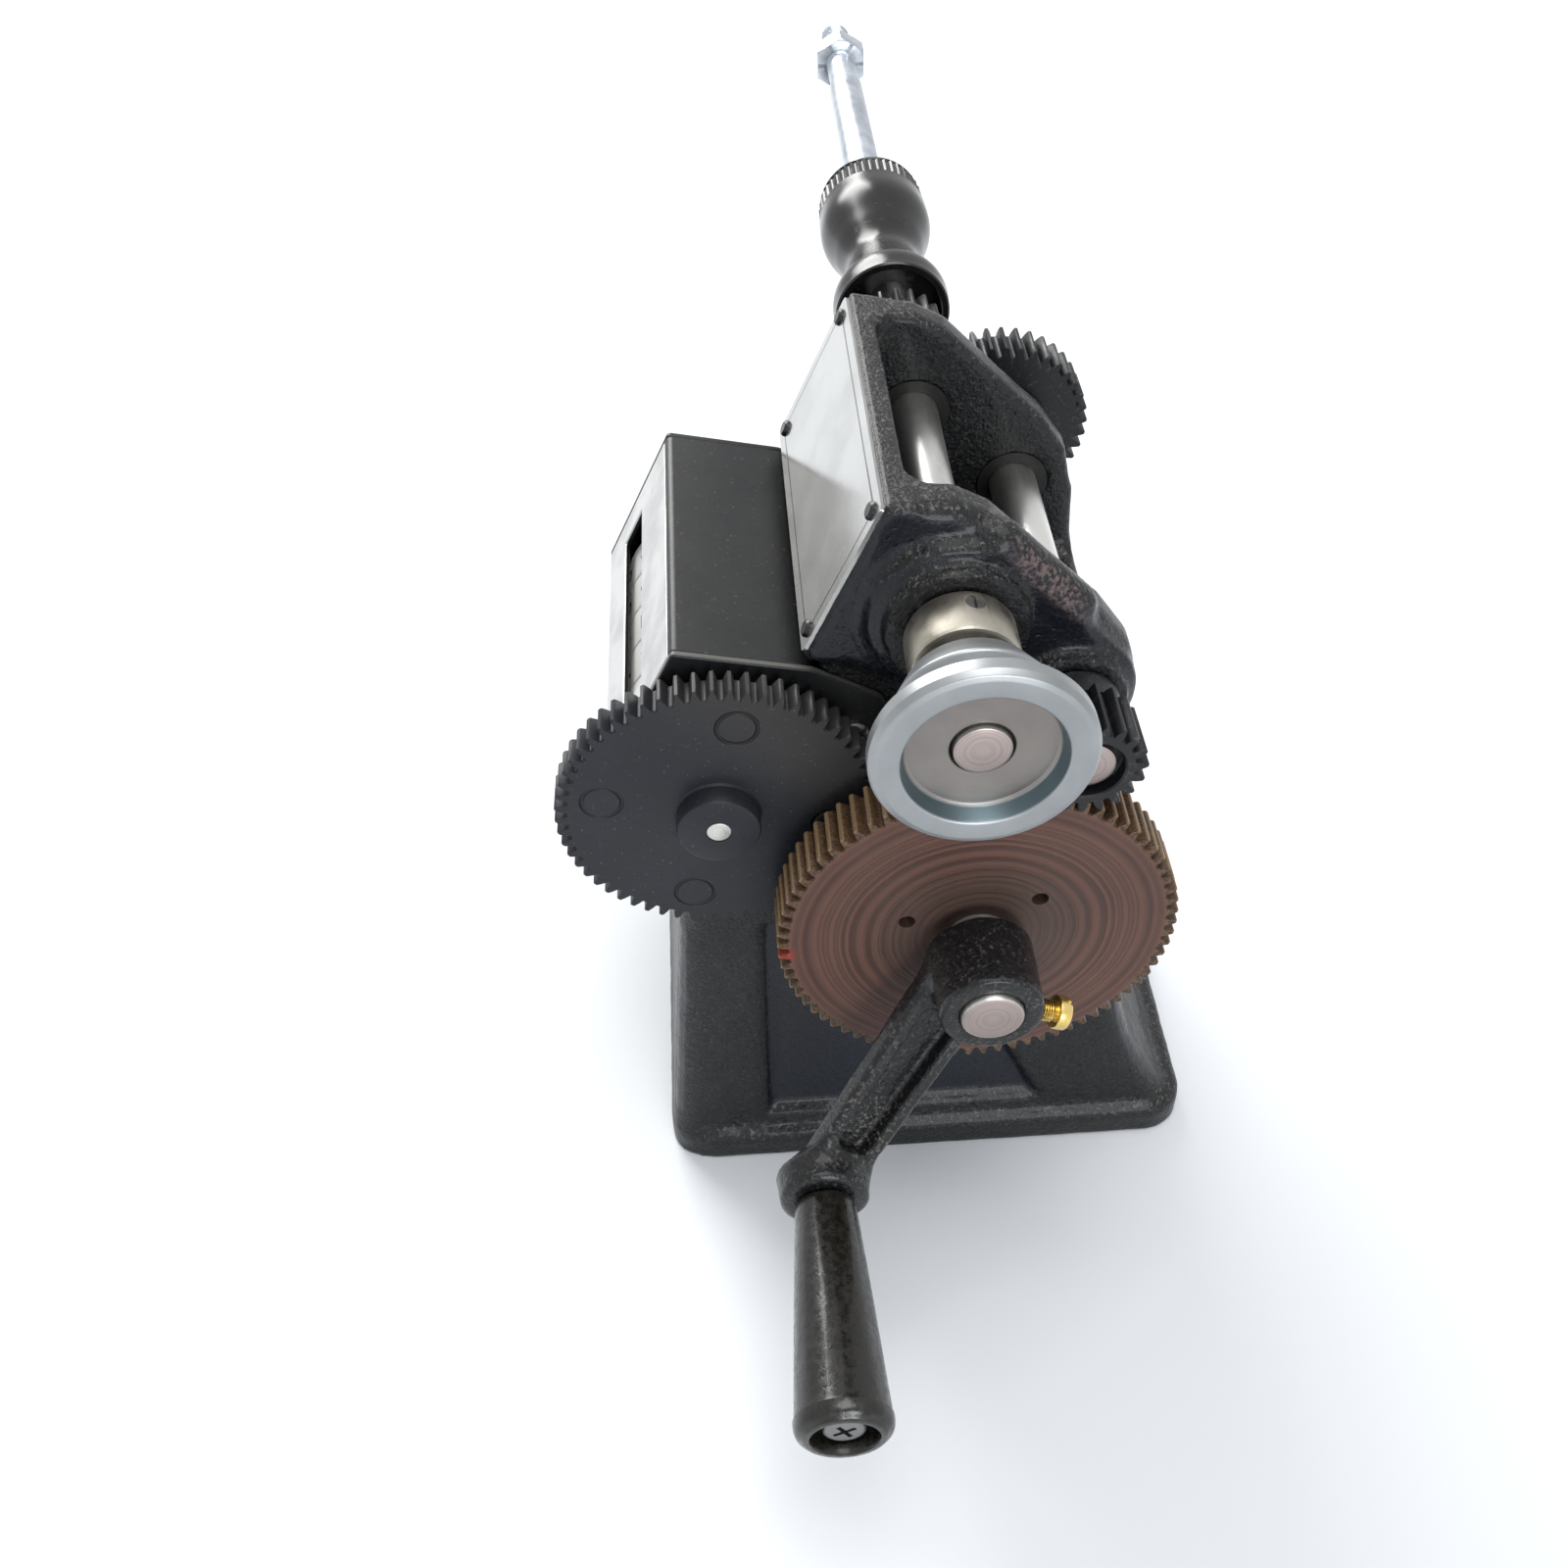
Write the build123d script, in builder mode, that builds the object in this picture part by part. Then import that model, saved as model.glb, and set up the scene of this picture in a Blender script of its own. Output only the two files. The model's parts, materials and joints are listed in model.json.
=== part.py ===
"""Hand-cranked coil winding machine, a bench model with a geared spindle and a turns counter.

Frame: X runs along the winding spindle, +X towards the crank; the operator sits at -Y;
+Z is up; the origin is the middle of the base's resting face. Lengths are millimetres.
"""
import os
from math import acos, cos, pi, radians, sin, sqrt, tan

from build123d import *

# ---- driving dimensions -------------------------------------------------------------
# gear train: spur gears of one module, the crank drives everything
MODULE = 1.0
PRESSURE_ANGLE = 20.0
TOOTH_THINNING = 0.12
CRANK_TEETH = 76
LAY_PINION_TEETH = 19
LAY_GEAR_TEETH = 38
SPINDLE_TEETH = 19
COUNTER_DRIVE_TEETH = 48
COUNTER_TEETH = 60

# axes seen from the crank end: directions are degrees above +Y
CRANK_Y = 4.3
CRANK_Z = 95.0
LAY_DIRECTION = 68.6
SPINDLE_DIRECTION = 139.4
COUNTER_DIRECTION = 154.4

# clearances
RUN = 0.05
SEAT = 0.3

# casting
HEAD_HALF = 37.0
CHEEK = 9.0
BEARING_FACE = 43.0
FAR_BEARING_FACE = 49.0
COLUMN_HALF = 35.0
BASE_LENGTH = 87.0
BASE_WIDTH = 121.5
BASE_THICKNESS = 8.0
BASE_CORNER = 10.0
WALL = 7.0
HOLLOW_HALF = 25.0
SHELF_Z = 99.0
COLUMN_FRONT = -23.7
FOOT_TOP = 88.0
FRONT_TILT = 24.6
FRONT_WALL = 4.4
BAY_FLOOR = 119.0

# shafts
SPINDLE_R = 5.0
LAY_R = 5.0
CRANK_R = 6.0
BUSH_WALL = 2.5
COUNTER_SHAFT_R = 2.4
COUNTER_BUSH_R = 4.0
WINDING_R = 4.5

# stations along X
CRANK_GEAR_BACK = 49.0
CRANK_GEAR_WIDTH = 10.0
DRIVE_GEAR_BACK = 38.6
COUNTER_GEAR_BACK = 38.9
COUNTER_GEAR_WIDTH = 6.0
LAY_PINION_FRONT = 60.4
LAY_PINION_WIDTH = 11.6
LAY_GEAR_WIDTH = 9.0
SPINDLE_PINION_WIDTH = 12.0
HUB_BACK = 60.2
HUB_FRONT = 78.7
CRANK_SHAFT_FRONT = 79.7
PULLEY_BACK = 58.0
PULLEY_FRONT = 76.0
SPINDLE_FRONT = 74.0
CHUCK_FRONT = -68.0
CHUCK_LENGTH = 46.0
KNURL_LENGTH = 10.0
WINDING_LENGTH = 107.0

# gear hubs, collars and set screws
PINION_HUB_R = 8.7
PINION_SINK = 1.1
LAY_HUB_R = 9.0
LAY_HUB_LENGTH = 6.5
COUNTER_HUB_R = 8.0
COUNTER_HUB_FRONT = 49.8
COLLAR_R = 10.0
COLLAR_LENGTH = 10.6
COLLAR_SCREW_DIRECTION = 78.6
CRANK_COLLAR_R = 10.0
CRANK_COLLAR_LENGTH = 9.0
SET_SCREW_R = 1.8
DOWEL_R = 1.65
DOWEL_CIRCLE = 14.8
DOWEL_DIRECTIONS = (39.0, 160.0, 280.0)
DOWEL_SINK = 4.0

# pulley, chuck and winding shaft
PULLEY_R = 19.1
PULLEY_NOSE_R = 11.5
GROOVE_R = 10.5
RECESS_R = 13.9
RECESS_DEPTH = 3.7
CHUCK_R = 13.0
CHUCK_WAIST_R = 8.3
CHUCK_CUP_R = 11.0
CHUCK_CUP_DEPTH = 6.0
COLLET_R = 7.0
THREAD_R = 4.0
THREAD_LENGTH = 24.0
RELIEF_R = 4.2
RELIEF_WIDTH = 1.0

# crank and handle
CRANK_LENGTH = 52.8
CRANK_ANGLE = 38.1
HUB_R = 9.9
ARM_RISE = 22.4
ARM_ROOT = 66.0
ARM_THICKNESS = 5.4
ARM_ROOT_HALF = 8.2
ARM_TIP_HALF = 6.5
RIB_WIDTH = 3.6
WEB_DEPTH = 2.2
BOSS_R = 9.3
BOSS_LENGTH = 7.6
BOSS_FRONT = 90.5
HANDLE_PIN_R = 3.0
HANDLE_SCREW_R = 4.1
HANDLE_SCREW_HEAD = 2.4
GRIP_LENGTH = 47.7
GRIP_NECK_R = 6.2
GRIP_LIP_R = 9.5
GRIP_RECESS = 4.1
CLAMP_SCREW_DIRECTION = -21.0
CLAMP_SCREW_X = 75.0
CLAMP_SCREW_R = 2.3
CLAMP_HEAD_R = 3.8
CLAMP_HEAD_START = 12.0
CLAMP_HEAD_HEIGHT = 4.0

# turns counter
FACE_TILT = 26.3
FACE_DEPTH = 20.4
FACE_ABOVE = 26.7
FACE_BELOW = 7.0
FACE_SHEET = 1.3
COVER_SHEET = 1.2
COVER_TILT = 12.0
COVER_HALF = 35.0
COVER_GAP = 1.7
BRACKET_SHEET = 1.5
WHEEL_R = 16.8
WHEEL_WIDTH = 10.6
WHEEL_PITCH = 11.0
WHEEL_COUNT = 5
WINDOW_TOP = 15.0
WINDOW_HEIGHT = 9.6
WINDOW_X = (-28.0, 27.0)
WHEEL_FIRST = 21.5
WHEEL_RIM = 3.0
WHEEL_WEB = 3.0
WHEEL_HUB_R = 5.0
CARRY_REACH = 21.5
CARRY_DIRECTION = 78.9
CARRY_R = 4.2
CARRY_ROOT_R = 3.0
CARRY_TEETH = 8
CARRY_SHAFT_R = 1.5
RESET_KNOB_R = 8.0
RESET_KNOB_LENGTH = 8.0
RESET_KNOB_BACK = -50.0
BRACKET_SCREWS = ((-17.8, 130.0), (-17.8, 110.0))
BRACKET_SCREW_R = 1.5
BRACKET_HEAD_R = 2.8
BRACKET_HEAD_HEIGHT = 1.6
BRACKET_SCREW_LENGTH = 6.0

# nameplate
PLATE_SHEET = 0.8
PLATE_EDGE = 1.6
PLATE_SCREW_INSET = 4.0
PLATE_SCREW_R = 0.9
PLATE_HEAD_R = 1.7
PLATE_HEAD_HEIGHT = 0.8
PLATE_SCREW_LENGTH = 4.0


# ---- places that follow -------------------------------------------------------------
def step(point, distance, direction):
    """The point that lies at a distance from another, direction in degrees above +Y."""
    return (
        point[0] + distance * cos(radians(direction)),
        point[1] + distance * sin(radians(direction)),
    )


def centre_distance(teeth_a, teeth_b):
    """Distance between two meshed gears' axes."""
    return MODULE * (teeth_a + teeth_b) / 2


CRANK = (CRANK_Y, CRANK_Z)
LAY = step(CRANK, centre_distance(CRANK_TEETH, LAY_PINION_TEETH), LAY_DIRECTION)
SPINDLE = step(LAY, centre_distance(LAY_GEAR_TEETH, SPINDLE_TEETH), SPINDLE_DIRECTION)
COUNTER = step(CRANK, centre_distance(COUNTER_DRIVE_TEETH, COUNTER_TEETH), COUNTER_DIRECTION)
BOSS = step(CRANK, CRANK_LENGTH, 270 - CRANK_ANGLE)
CARRY = step(COUNTER, CARRY_REACH, CARRY_DIRECTION)


def axis_of(centre):
    """The X-wise axis through a (y, z) centre."""
    return Axis((0, centre[0], centre[1]), (1, 0, 0))


def section_of(centre):
    """Sketch plane whose local x runs along +X and local y is the radius from a centre."""
    return Plane(origin=(0, centre[0], centre[1]), x_dir=(1, 0, 0), z_dir=(0, -1, 0))


def turned(centre, *outline):
    """Closed (x, radius) outline on the plane through an axis, ready to revolve."""
    with BuildSketch(section_of(centre)) as sketch:
        with BuildLine():
            Polyline(*outline, close=True)
        make_face()
    return sketch.sketch


def disc(centre, radius, x):
    """Round sketch across an axis at station x."""
    with BuildSketch(Plane.YZ.offset(x)) as sketch:
        with Locations(centre):
            Circle(radius)
    return sketch.sketch


def ring(centre, radius, bore, x):
    """Ring sketch across an axis at station x."""
    with BuildSketch(Plane.YZ.offset(x)) as sketch:
        with Locations(centre):
            Circle(radius)
            Circle(bore, mode=Mode.SUBTRACT)
    return sketch.sketch


def polygon(x, *points):
    """Closed (y, z) outline at station x."""
    with BuildSketch(Plane.YZ.offset(x)) as sketch:
        with BuildLine():
            Polyline(*points, close=True)
        make_face()
    return sketch.sketch


def star(centre, tip_r, root_r, teeth, x):
    """Coarse toothed outline at station x, for knurls and carry pinions."""
    points = []
    for corner in range(4 * teeth):
        r = tip_r if corner % 4 < 2 else root_r
        points.append(step(centre, r, 360 * corner / (4 * teeth)))
    return polygon(x, *points)


def radial_plane(centre, x, direction):
    """Plane on an axis whose normal points along a radius, direction above +Y."""
    return Plane(
        origin=(x, centre[0], centre[1]),
        x_dir=(1, 0, 0),
        z_dir=(0, cos(radians(direction)), sin(radians(direction))),
    )


CLAMP_PLANE = radial_plane(CRANK, CLAMP_SCREW_X, CLAMP_SCREW_DIRECTION)


# ---- gear teeth ---------------------------------------------------------------------
def involute(angle):
    """Involute function of a pressure angle in radians."""
    return tan(angle) - angle


def tooth_half_angle(teeth, radius):
    """Half the angle that a tooth covers at a radius, from the involute of its base circle."""
    pitch_r = MODULE * teeth / 2
    base_r = pitch_r * cos(radians(PRESSURE_ANGLE))
    thickness = MODULE * pi / 2 - TOOTH_THINNING
    at_radius = acos(min(1.0, base_r / radius))
    return thickness / 2 / pitch_r + involute(radians(PRESSURE_ANGLE)) - involute(at_radius)


def gear_sketch(centre, teeth, phase, bore, x):
    """Spur gear outline at station x; phase is the angle of one tooth's middle above +Y."""
    pitch_r = MODULE * teeth / 2
    base_r = pitch_r * cos(radians(PRESSURE_ANGLE))
    tip_r = pitch_r + MODULE
    root_r = pitch_r - 1.25 * MODULE
    flank_foot = max(base_r, root_r) + 0.01
    flank = [flank_foot, (flank_foot + tip_r) / 2, tip_r]
    half = [(root_r, tooth_half_angle(teeth, flank_foot))]
    half += [(r, tooth_half_angle(teeth, r)) for r in flank]
    if root_r > base_r:
        half = half[1:]
    points = []
    for tooth in range(teeth):
        middle = radians(phase) + 2 * pi * tooth / teeth
        for r, a in half:
            points.append((r * cos(middle - a), r * sin(middle - a)))
        for r, a in reversed(half):
            points.append((r * cos(middle + a), r * sin(middle + a)))
    with BuildSketch(Plane.YZ.offset(x)) as sketch:
        with Locations(centre):
            with BuildLine():
                Polyline(*[(centre[0] + p[0], centre[1] + p[1]) for p in points], close=True)
            make_face()
            Circle(bore, mode=Mode.SUBTRACT)
    return sketch.sketch


def meshed_phase(phase, teeth, direction, other_teeth):
    """Phase of a gear that meshes with another, which lies opposite along direction."""
    turns = (direction - phase) * teeth / 360
    return direction + 180 - (0.5 - turns) * 360 / other_teeth


CRANK_PHASE = 0.0
LAY_PINION_PHASE = meshed_phase(CRANK_PHASE, CRANK_TEETH, LAY_DIRECTION, LAY_PINION_TEETH)
LAY_GEAR_PHASE = LAY_PINION_PHASE
SPINDLE_PHASE = meshed_phase(LAY_GEAR_PHASE, LAY_GEAR_TEETH, SPINDLE_DIRECTION, SPINDLE_TEETH)
COUNTER_PHASE = meshed_phase(CRANK_PHASE, COUNTER_DRIVE_TEETH, COUNTER_DIRECTION, COUNTER_TEETH)


# ---- counter outline ----------------------------------------------------------------
FACE_UP = (sin(radians(FACE_TILT)), cos(radians(FACE_TILT)))
FACE_OUT = (-cos(radians(FACE_TILT)), sin(radians(FACE_TILT)))


def face_point(up, out):
    """(y, z) of a point up along the counter's face and out from the counter's axis."""
    return (
        COUNTER[0] + FACE_UP[0] * up + FACE_OUT[0] * out,
        COUNTER[1] + FACE_UP[1] * up + FACE_OUT[1] * out,
    )


COVER_OUT = FACE_DEPTH - FACE_SHEET
COVER_BACK = COLUMN_FRONT - COVER_GAP
COVER_TOP_FRONT = face_point(FACE_ABOVE, COVER_OUT)
COVER_TOP_BACK = (
    COVER_BACK,
    COVER_TOP_FRONT[1] - (COVER_BACK - COVER_TOP_FRONT[0]) * tan(radians(COVER_TILT)),
)
COVER_LOW_FRONT = face_point(-FACE_BELOW, COVER_OUT)
COVER_FOOT = (COVER_LOW_FRONT[0] + 5.5, SHELF_Z)
COVER_OUTLINE = (
    COVER_TOP_FRONT,
    COVER_TOP_BACK,
    (COVER_BACK, SHELF_Z),
    COVER_FOOT,
    COVER_LOW_FRONT,
)

# nameplate wall of the head: its lower front edge and its upper edge
FRONT_LOW = (-26.9, 148.7)
FRONT_RISE = 35.5
FRONT_HIGH = step(FRONT_LOW, FRONT_RISE, 90 - FRONT_TILT)
BAY_FRONT = FRONT_WALL / cos(radians(FRONT_TILT))
NAMEPLATE_PLANE = Plane(
    origin=(0, (FRONT_LOW[0] + FRONT_HIGH[0]) / 2, (FRONT_LOW[1] + FRONT_HIGH[1]) / 2),
    x_dir=(1, 0, 0),
    z_dir=(0, -cos(radians(FRONT_TILT)), sin(radians(FRONT_TILT))),
)
PLATE_SCREWS = [
    (side * (HEAD_HALF - PLATE_SCREW_INSET), level * (FRONT_RISE / 2 - PLATE_SCREW_INSET))
    for side in (1, -1)
    for level in (1, -1)
]


# ---- frame casting ------------------------------------------------------------------
def footprint(z, half_length, front, rear, corner):
    """Rounded rectangle of the foot at one height."""
    with BuildSketch(Plane.XY.offset(z)) as sketch:
        with Locations((0, (front + rear) / 2)):
            RectangleRounded(2 * half_length, rear - front, corner)
    return sketch.sketch


HALF_BASE = BASE_LENGTH / 2
HALF_WIDTH = BASE_WIDTH / 2
REAR_FACE = 40.5
HEAD_REAR = LAY[0] + 13.0

with BuildPart() as web_recess:
    # shallow trapezium between the foot's two ribs, floor leaning with the foot's face
    extrude(
        polygon(25, (-38, 13), (25, 13), (17, 30), (2, 74), (-37, 74)),
        amount=30,
    )
    fillet(web_recess.edges().filter_by(Axis.X), 4)
    split(
        bisect_by=Plane(origin=(38, 0, 13), x_dir=(0, 1, 0), z_dir=(12, 0, 1)),
        keep=Keep.TOP,
    )

with BuildPart() as frame_casting:
    # resting flange
    with BuildSketch(Plane.XY):
        RectangleRounded(BASE_LENGTH, BASE_WIDTH, BASE_CORNER)
    extrude(amount=BASE_THICKNESS)
    fillet(frame_casting.faces().sort_by(Axis.Z)[-1].edges(), 2.5)
    # flared foot
    loft(
        [
            footprint(BASE_THICKNESS / 2, HALF_BASE - 1.5, -HALF_WIDTH + 1, HALF_WIDTH - 1, 8),
            footprint(30, 39, -59, 47, 7),
            footprint(60, 36.5, -57, 41.5, 5),
            footprint(FOOT_TOP, COLUMN_HALF, -54.5, REAR_FACE, 4),
        ]
    )
    # shelf under the counter and the column behind it
    extrude(
        polygon(
            -COLUMN_HALF,
            (-54.5, FOOT_TOP),
            (-54.0, SHELF_Z),
            (COLUMN_FRONT, SHELF_Z),
            (COLUMN_FRONT, 147),
            (30, 147),
            (HEAD_REAR, 136),
            (HEAD_REAR + 0.8, 125),
            (REAR_FACE, FOOT_TOP),
        ),
        amount=2 * COLUMN_HALF,
    )
    # head with its two cheeks
    with BuildSketch(Plane.YZ.offset(-HEAD_HALF)):
        with BuildLine():
            Polyline(
                (HEAD_REAR, 121),
                (-7.8, 121),
                (-10.9, 141.8),
                FRONT_LOW,
                FRONT_HIGH,
                (-0.2, FRONT_HIGH[1] - 1.4),
                (6.3, FRONT_HIGH[1] - 5.0),
                (27.3, FRONT_HIGH[1] - 26.5),
            )
            ThreePointArc((27.3, FRONT_HIGH[1] - 26.5), (32.6, 146.5), (HEAD_REAR, 136))
            Line((HEAD_REAR, 136), (HEAD_REAR, 121))
        make_face()
    extrude(amount=2 * HEAD_HALF)
    # bay between the cheeks, open above and behind
    extrude(
        polygon(
            -HEAD_HALF + CHEEK,
            (COLUMN_FRONT + 5, BAY_FLOOR),
            (COLUMN_FRONT + 5, FRONT_LOW[1] + 6),
            (FRONT_LOW[0] + BAY_FRONT, FRONT_LOW[1]),
            (FRONT_HIGH[0] + BAY_FRONT, FRONT_HIGH[1]),
            (FRONT_HIGH[0] + BAY_FRONT, FRONT_HIGH[1] + 5),
            (60, FRONT_HIGH[1] + 5),
            (60, BAY_FLOOR + 6),
            (20, BAY_FLOOR),
        ),
        amount=2 * (HEAD_HALF - CHEEK),
        mode=Mode.SUBTRACT,
    )
    # bearing bosses, near side on a raised saddle that joins them
    with BuildSketch(Plane.YZ.offset(HEAD_HALF)):
        with Locations(SPINDLE):
            Circle(16)
        with Locations(LAY):
            Circle(12.6)
        make_hull()
    extrude(amount=3.0)
    extrude(disc(SPINDLE, 13.0, HEAD_HALF), amount=BEARING_FACE - HEAD_HALF)
    extrude(disc(LAY, 10.5, HEAD_HALF), amount=BEARING_FACE - HEAD_HALF)
    extrude(disc(SPINDLE, 9.5, -FAR_BEARING_FACE), amount=FAR_BEARING_FACE - HEAD_HALF)
    extrude(disc(LAY, 11.0, -FAR_BEARING_FACE), amount=FAR_BEARING_FACE - HEAD_HALF)
    extrude(disc(CRANK, 14.0, COLUMN_HALF), amount=HEAD_HALF - COLUMN_HALF)
    extrude(disc(CRANK, 14.0, -HEAD_HALF), amount=HEAD_HALF - COLUMN_HALF)
    # hollow underside
    with BuildSketch(Plane.XY):
        with Locations((0, -5)):
            RectangleRounded(2 * HOLLOW_HALF, 88, 8)
    extrude(amount=FOOT_TOP - WALL, mode=Mode.SUBTRACT)
    with BuildSketch(Plane.XY.offset(FOOT_TOP - WALL)):
        with Locations((0, (COLUMN_FRONT + REAR_FACE) / 2)):
            RectangleRounded(2 * HOLLOW_HALF, REAR_FACE - COLUMN_FRONT - 2 * WALL, 5)
    extrude(amount=BAY_FLOOR - WALL - (FOOT_TOP - WALL), mode=Mode.SUBTRACT)
    # web recesses, near and far
    add(web_recess.part, mode=Mode.SUBTRACT)
    add(web_recess.part.mirror(Plane.YZ), mode=Mode.SUBTRACT)
    # bearing bores
    for centre, shaft_r in ((SPINDLE, SPINDLE_R), (LAY, LAY_R), (CRANK, CRANK_R)):
        extrude(
            disc(centre, shaft_r + BUSH_WALL, -FAR_BEARING_FACE - 1),
            amount=2 * (FAR_BEARING_FACE + 1),
            mode=Mode.SUBTRACT,
        )
    # tapped holes of the nameplate and of the counter's bracket
    with BuildSketch(NAMEPLATE_PLANE):
        with Locations(*PLATE_SCREWS):
            Circle(PLATE_SCREW_R)
    extrude(amount=-PLATE_SCREW_LENGTH, mode=Mode.SUBTRACT)
    for place in BRACKET_SCREWS:
        extrude(
            disc(place, BRACKET_SCREW_R, COLUMN_HALF),
            amount=-BRACKET_SCREW_LENGTH,
            mode=Mode.SUBTRACT,
        )

# ---- bushes in the casting ----------------------------------------------------------
def bush(centre, shaft_r, start, end):
    """Plain bearing bush between two stations."""
    with BuildPart() as sleeve:
        extrude(ring(centre, shaft_r + BUSH_WALL, shaft_r + RUN, start), amount=end - start)
    return sleeve


BAY_HALF = HEAD_HALF - CHEEK
spindle_bush_near = bush(SPINDLE, SPINDLE_R, BAY_HALF, BEARING_FACE)
spindle_bush_far = bush(SPINDLE, SPINDLE_R, -FAR_BEARING_FACE, -BAY_HALF)
layshaft_bush_near = bush(LAY, LAY_R, BAY_HALF, BEARING_FACE)
layshaft_bush_far = bush(LAY, LAY_R, -FAR_BEARING_FACE, -BAY_HALF)
crank_bush_near = bush(CRANK, CRANK_R, HOLLOW_HALF, HEAD_HALF)
crank_bush_far = bush(CRANK, CRANK_R, -HEAD_HALF, -HOLLOW_HALF)

# ---- nameplate on the head's front --------------------------------------------------
with BuildPart() as nameplate:
    with BuildSketch(NAMEPLATE_PLANE):
        RectangleRounded(2 * HEAD_HALF - PLATE_EDGE, FRONT_RISE - PLATE_EDGE, 1.0)
        with Locations(*PLATE_SCREWS):
            Circle(PLATE_SCREW_R, mode=Mode.SUBTRACT)
    extrude(amount=PLATE_SHEET)


def plate_screw(place):
    """Small domed screw that holds the nameplate at one corner."""
    with BuildPart() as screw:
        with BuildSketch(NAMEPLATE_PLANE.offset(PLATE_SHEET)):
            with Locations(place):
                Circle(PLATE_HEAD_R)
        extrude(amount=PLATE_HEAD_HEIGHT)
        outward = Axis(NAMEPLATE_PLANE.origin, NAMEPLATE_PLANE.z_dir)
        chamfer(screw.faces().sort_by(outward)[-1].edges(), PLATE_HEAD_HEIGHT / 2)
        with BuildSketch(NAMEPLATE_PLANE.offset(PLATE_SHEET)):
            with Locations(place):
                Circle(PLATE_SCREW_R)
        extrude(amount=-PLATE_SCREW_LENGTH)
    return screw


nameplate_screws = [plate_screw(place) for place in PLATE_SCREWS]

# ---- turns counter housing ----------------------------------------------------------
FACE_PLANE = Plane(
    origin=(0, *face_point(0, COVER_OUT)),
    x_dir=(1, 0, 0),
    z_dir=(0, *FACE_OUT),
)
WINDOW_MIDDLE = FACE_ABOVE - WINDOW_TOP - WINDOW_HEIGHT / 2
FACE_HEIGHT = FACE_ABOVE + FACE_BELOW

with BuildPart() as counter_cover:
    extrude(polygon(-COVER_HALF, *COVER_OUTLINE), amount=2 * COVER_HALF)
    with BuildSketch(Plane.YZ.offset(-COVER_HALF)):
        with BuildLine():
            Polyline(*COVER_OUTLINE, close=True)
        make_face()
        offset(amount=-COVER_SHEET, kind=Kind.INTERSECTION, mode=Mode.REPLACE)
    extrude(amount=2 * COVER_HALF, mode=Mode.SUBTRACT)
    extrude(
        polygon(
            -COVER_HALF,
            (COVER_FOOT[0] + COVER_SHEET, SHELF_Z),
            (COVER_BACK - COVER_SHEET, SHELF_Z),
            (COVER_BACK - COVER_SHEET, SHELF_Z + 2 * COVER_SHEET),
            (COVER_FOOT[0] + COVER_SHEET, SHELF_Z + 2 * COVER_SHEET),
        ),
        amount=2 * COVER_HALF,
        mode=Mode.SUBTRACT,
    )
    with BuildSketch(FACE_PLANE):
        with Locations((sum(WINDOW_X) / 2, WINDOW_MIDDLE - 3.0)):
            RectangleRounded(WINDOW_X[1] - WINDOW_X[0] + 6, WINDOW_HEIGHT + 12, 2)
    extrude(amount=-2 * COVER_SHEET, mode=Mode.SUBTRACT)

with BuildPart() as counter_face_plate:
    with BuildSketch(FACE_PLANE):
        with Locations((0, FACE_ABOVE - FACE_HEIGHT / 2)):
            Rectangle(2 * COVER_HALF, FACE_HEIGHT)
        with Locations((sum(WINDOW_X) / 2, WINDOW_MIDDLE)):
            Rectangle(WINDOW_X[1] - WINDOW_X[0], WINDOW_HEIGHT, mode=Mode.SUBTRACT)
    extrude(amount=FACE_SHEET)

PLATE_TOP_FRONT = face_point(FACE_ABOVE, FACE_DEPTH)
PLATE_LOW_FRONT = face_point(-FACE_BELOW, FACE_DEPTH)
PLATE_FOOT = (COVER_FOOT[0] - FACE_SHEET, SHELF_Z)
EAR_TOP = 137.7
EAR_REAR = -12.0
EAR_FOOT = 105.0

with BuildPart() as counter_bracket:
    extrude(
        polygon(
            COVER_HALF,
            PLATE_TOP_FRONT,
            (COLUMN_FRONT - COVER_GAP, COVER_TOP_BACK[1]),
            (EAR_REAR, EAR_TOP),
            (EAR_REAR, EAR_FOOT),
            (COLUMN_FRONT, SHELF_Z),
            PLATE_FOOT,
            PLATE_LOW_FRONT,
        ),
        amount=BRACKET_SHEET,
    )
    extrude(disc(COUNTER, COUNTER_BUSH_R, COVER_HALF), amount=BRACKET_SHEET, mode=Mode.SUBTRACT)
    extrude(disc(CARRY, CARRY_SHAFT_R, COVER_HALF), amount=BRACKET_SHEET, mode=Mode.SUBTRACT)
    for place in BRACKET_SCREWS:
        extrude(disc(place, BRACKET_SCREW_R, COVER_HALF), amount=BRACKET_SHEET, mode=Mode.SUBTRACT)

with BuildPart() as counter_end_plate:
    extrude(
        polygon(
            -COVER_HALF,
            PLATE_TOP_FRONT,
            COVER_TOP_BACK,
            (COVER_BACK, SHELF_Z),
            PLATE_FOOT,
            PLATE_LOW_FRONT,
        ),
        amount=-BRACKET_SHEET,
    )
    extrude(disc(COUNTER, COUNTER_BUSH_R, -COVER_HALF), amount=-BRACKET_SHEET, mode=Mode.SUBTRACT)
    extrude(disc(CARRY, CARRY_SHAFT_R, -COVER_HALF), amount=-BRACKET_SHEET, mode=Mode.SUBTRACT)


def bracket_screw(place):
    """Pan-head screw that holds the counter's bracket to the column."""
    outside = COVER_HALF + BRACKET_SHEET
    with BuildPart() as screw:
        extrude(disc(place, BRACKET_HEAD_R, outside), amount=BRACKET_HEAD_HEIGHT)
        chamfer(screw.faces().sort_by(Axis.X)[-1].edges(), BRACKET_HEAD_HEIGHT / 3)
        extrude(disc(place, BRACKET_SCREW_R, outside), amount=-BRACKET_SCREW_LENGTH)
        with BuildSketch(Plane.YZ.offset(outside + BRACKET_HEAD_HEIGHT)):
            with Locations(place):
                Rectangle(2 * BRACKET_HEAD_R, 0.8, rotation=35)
        extrude(amount=-0.7, mode=Mode.SUBTRACT)
    return screw


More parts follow.
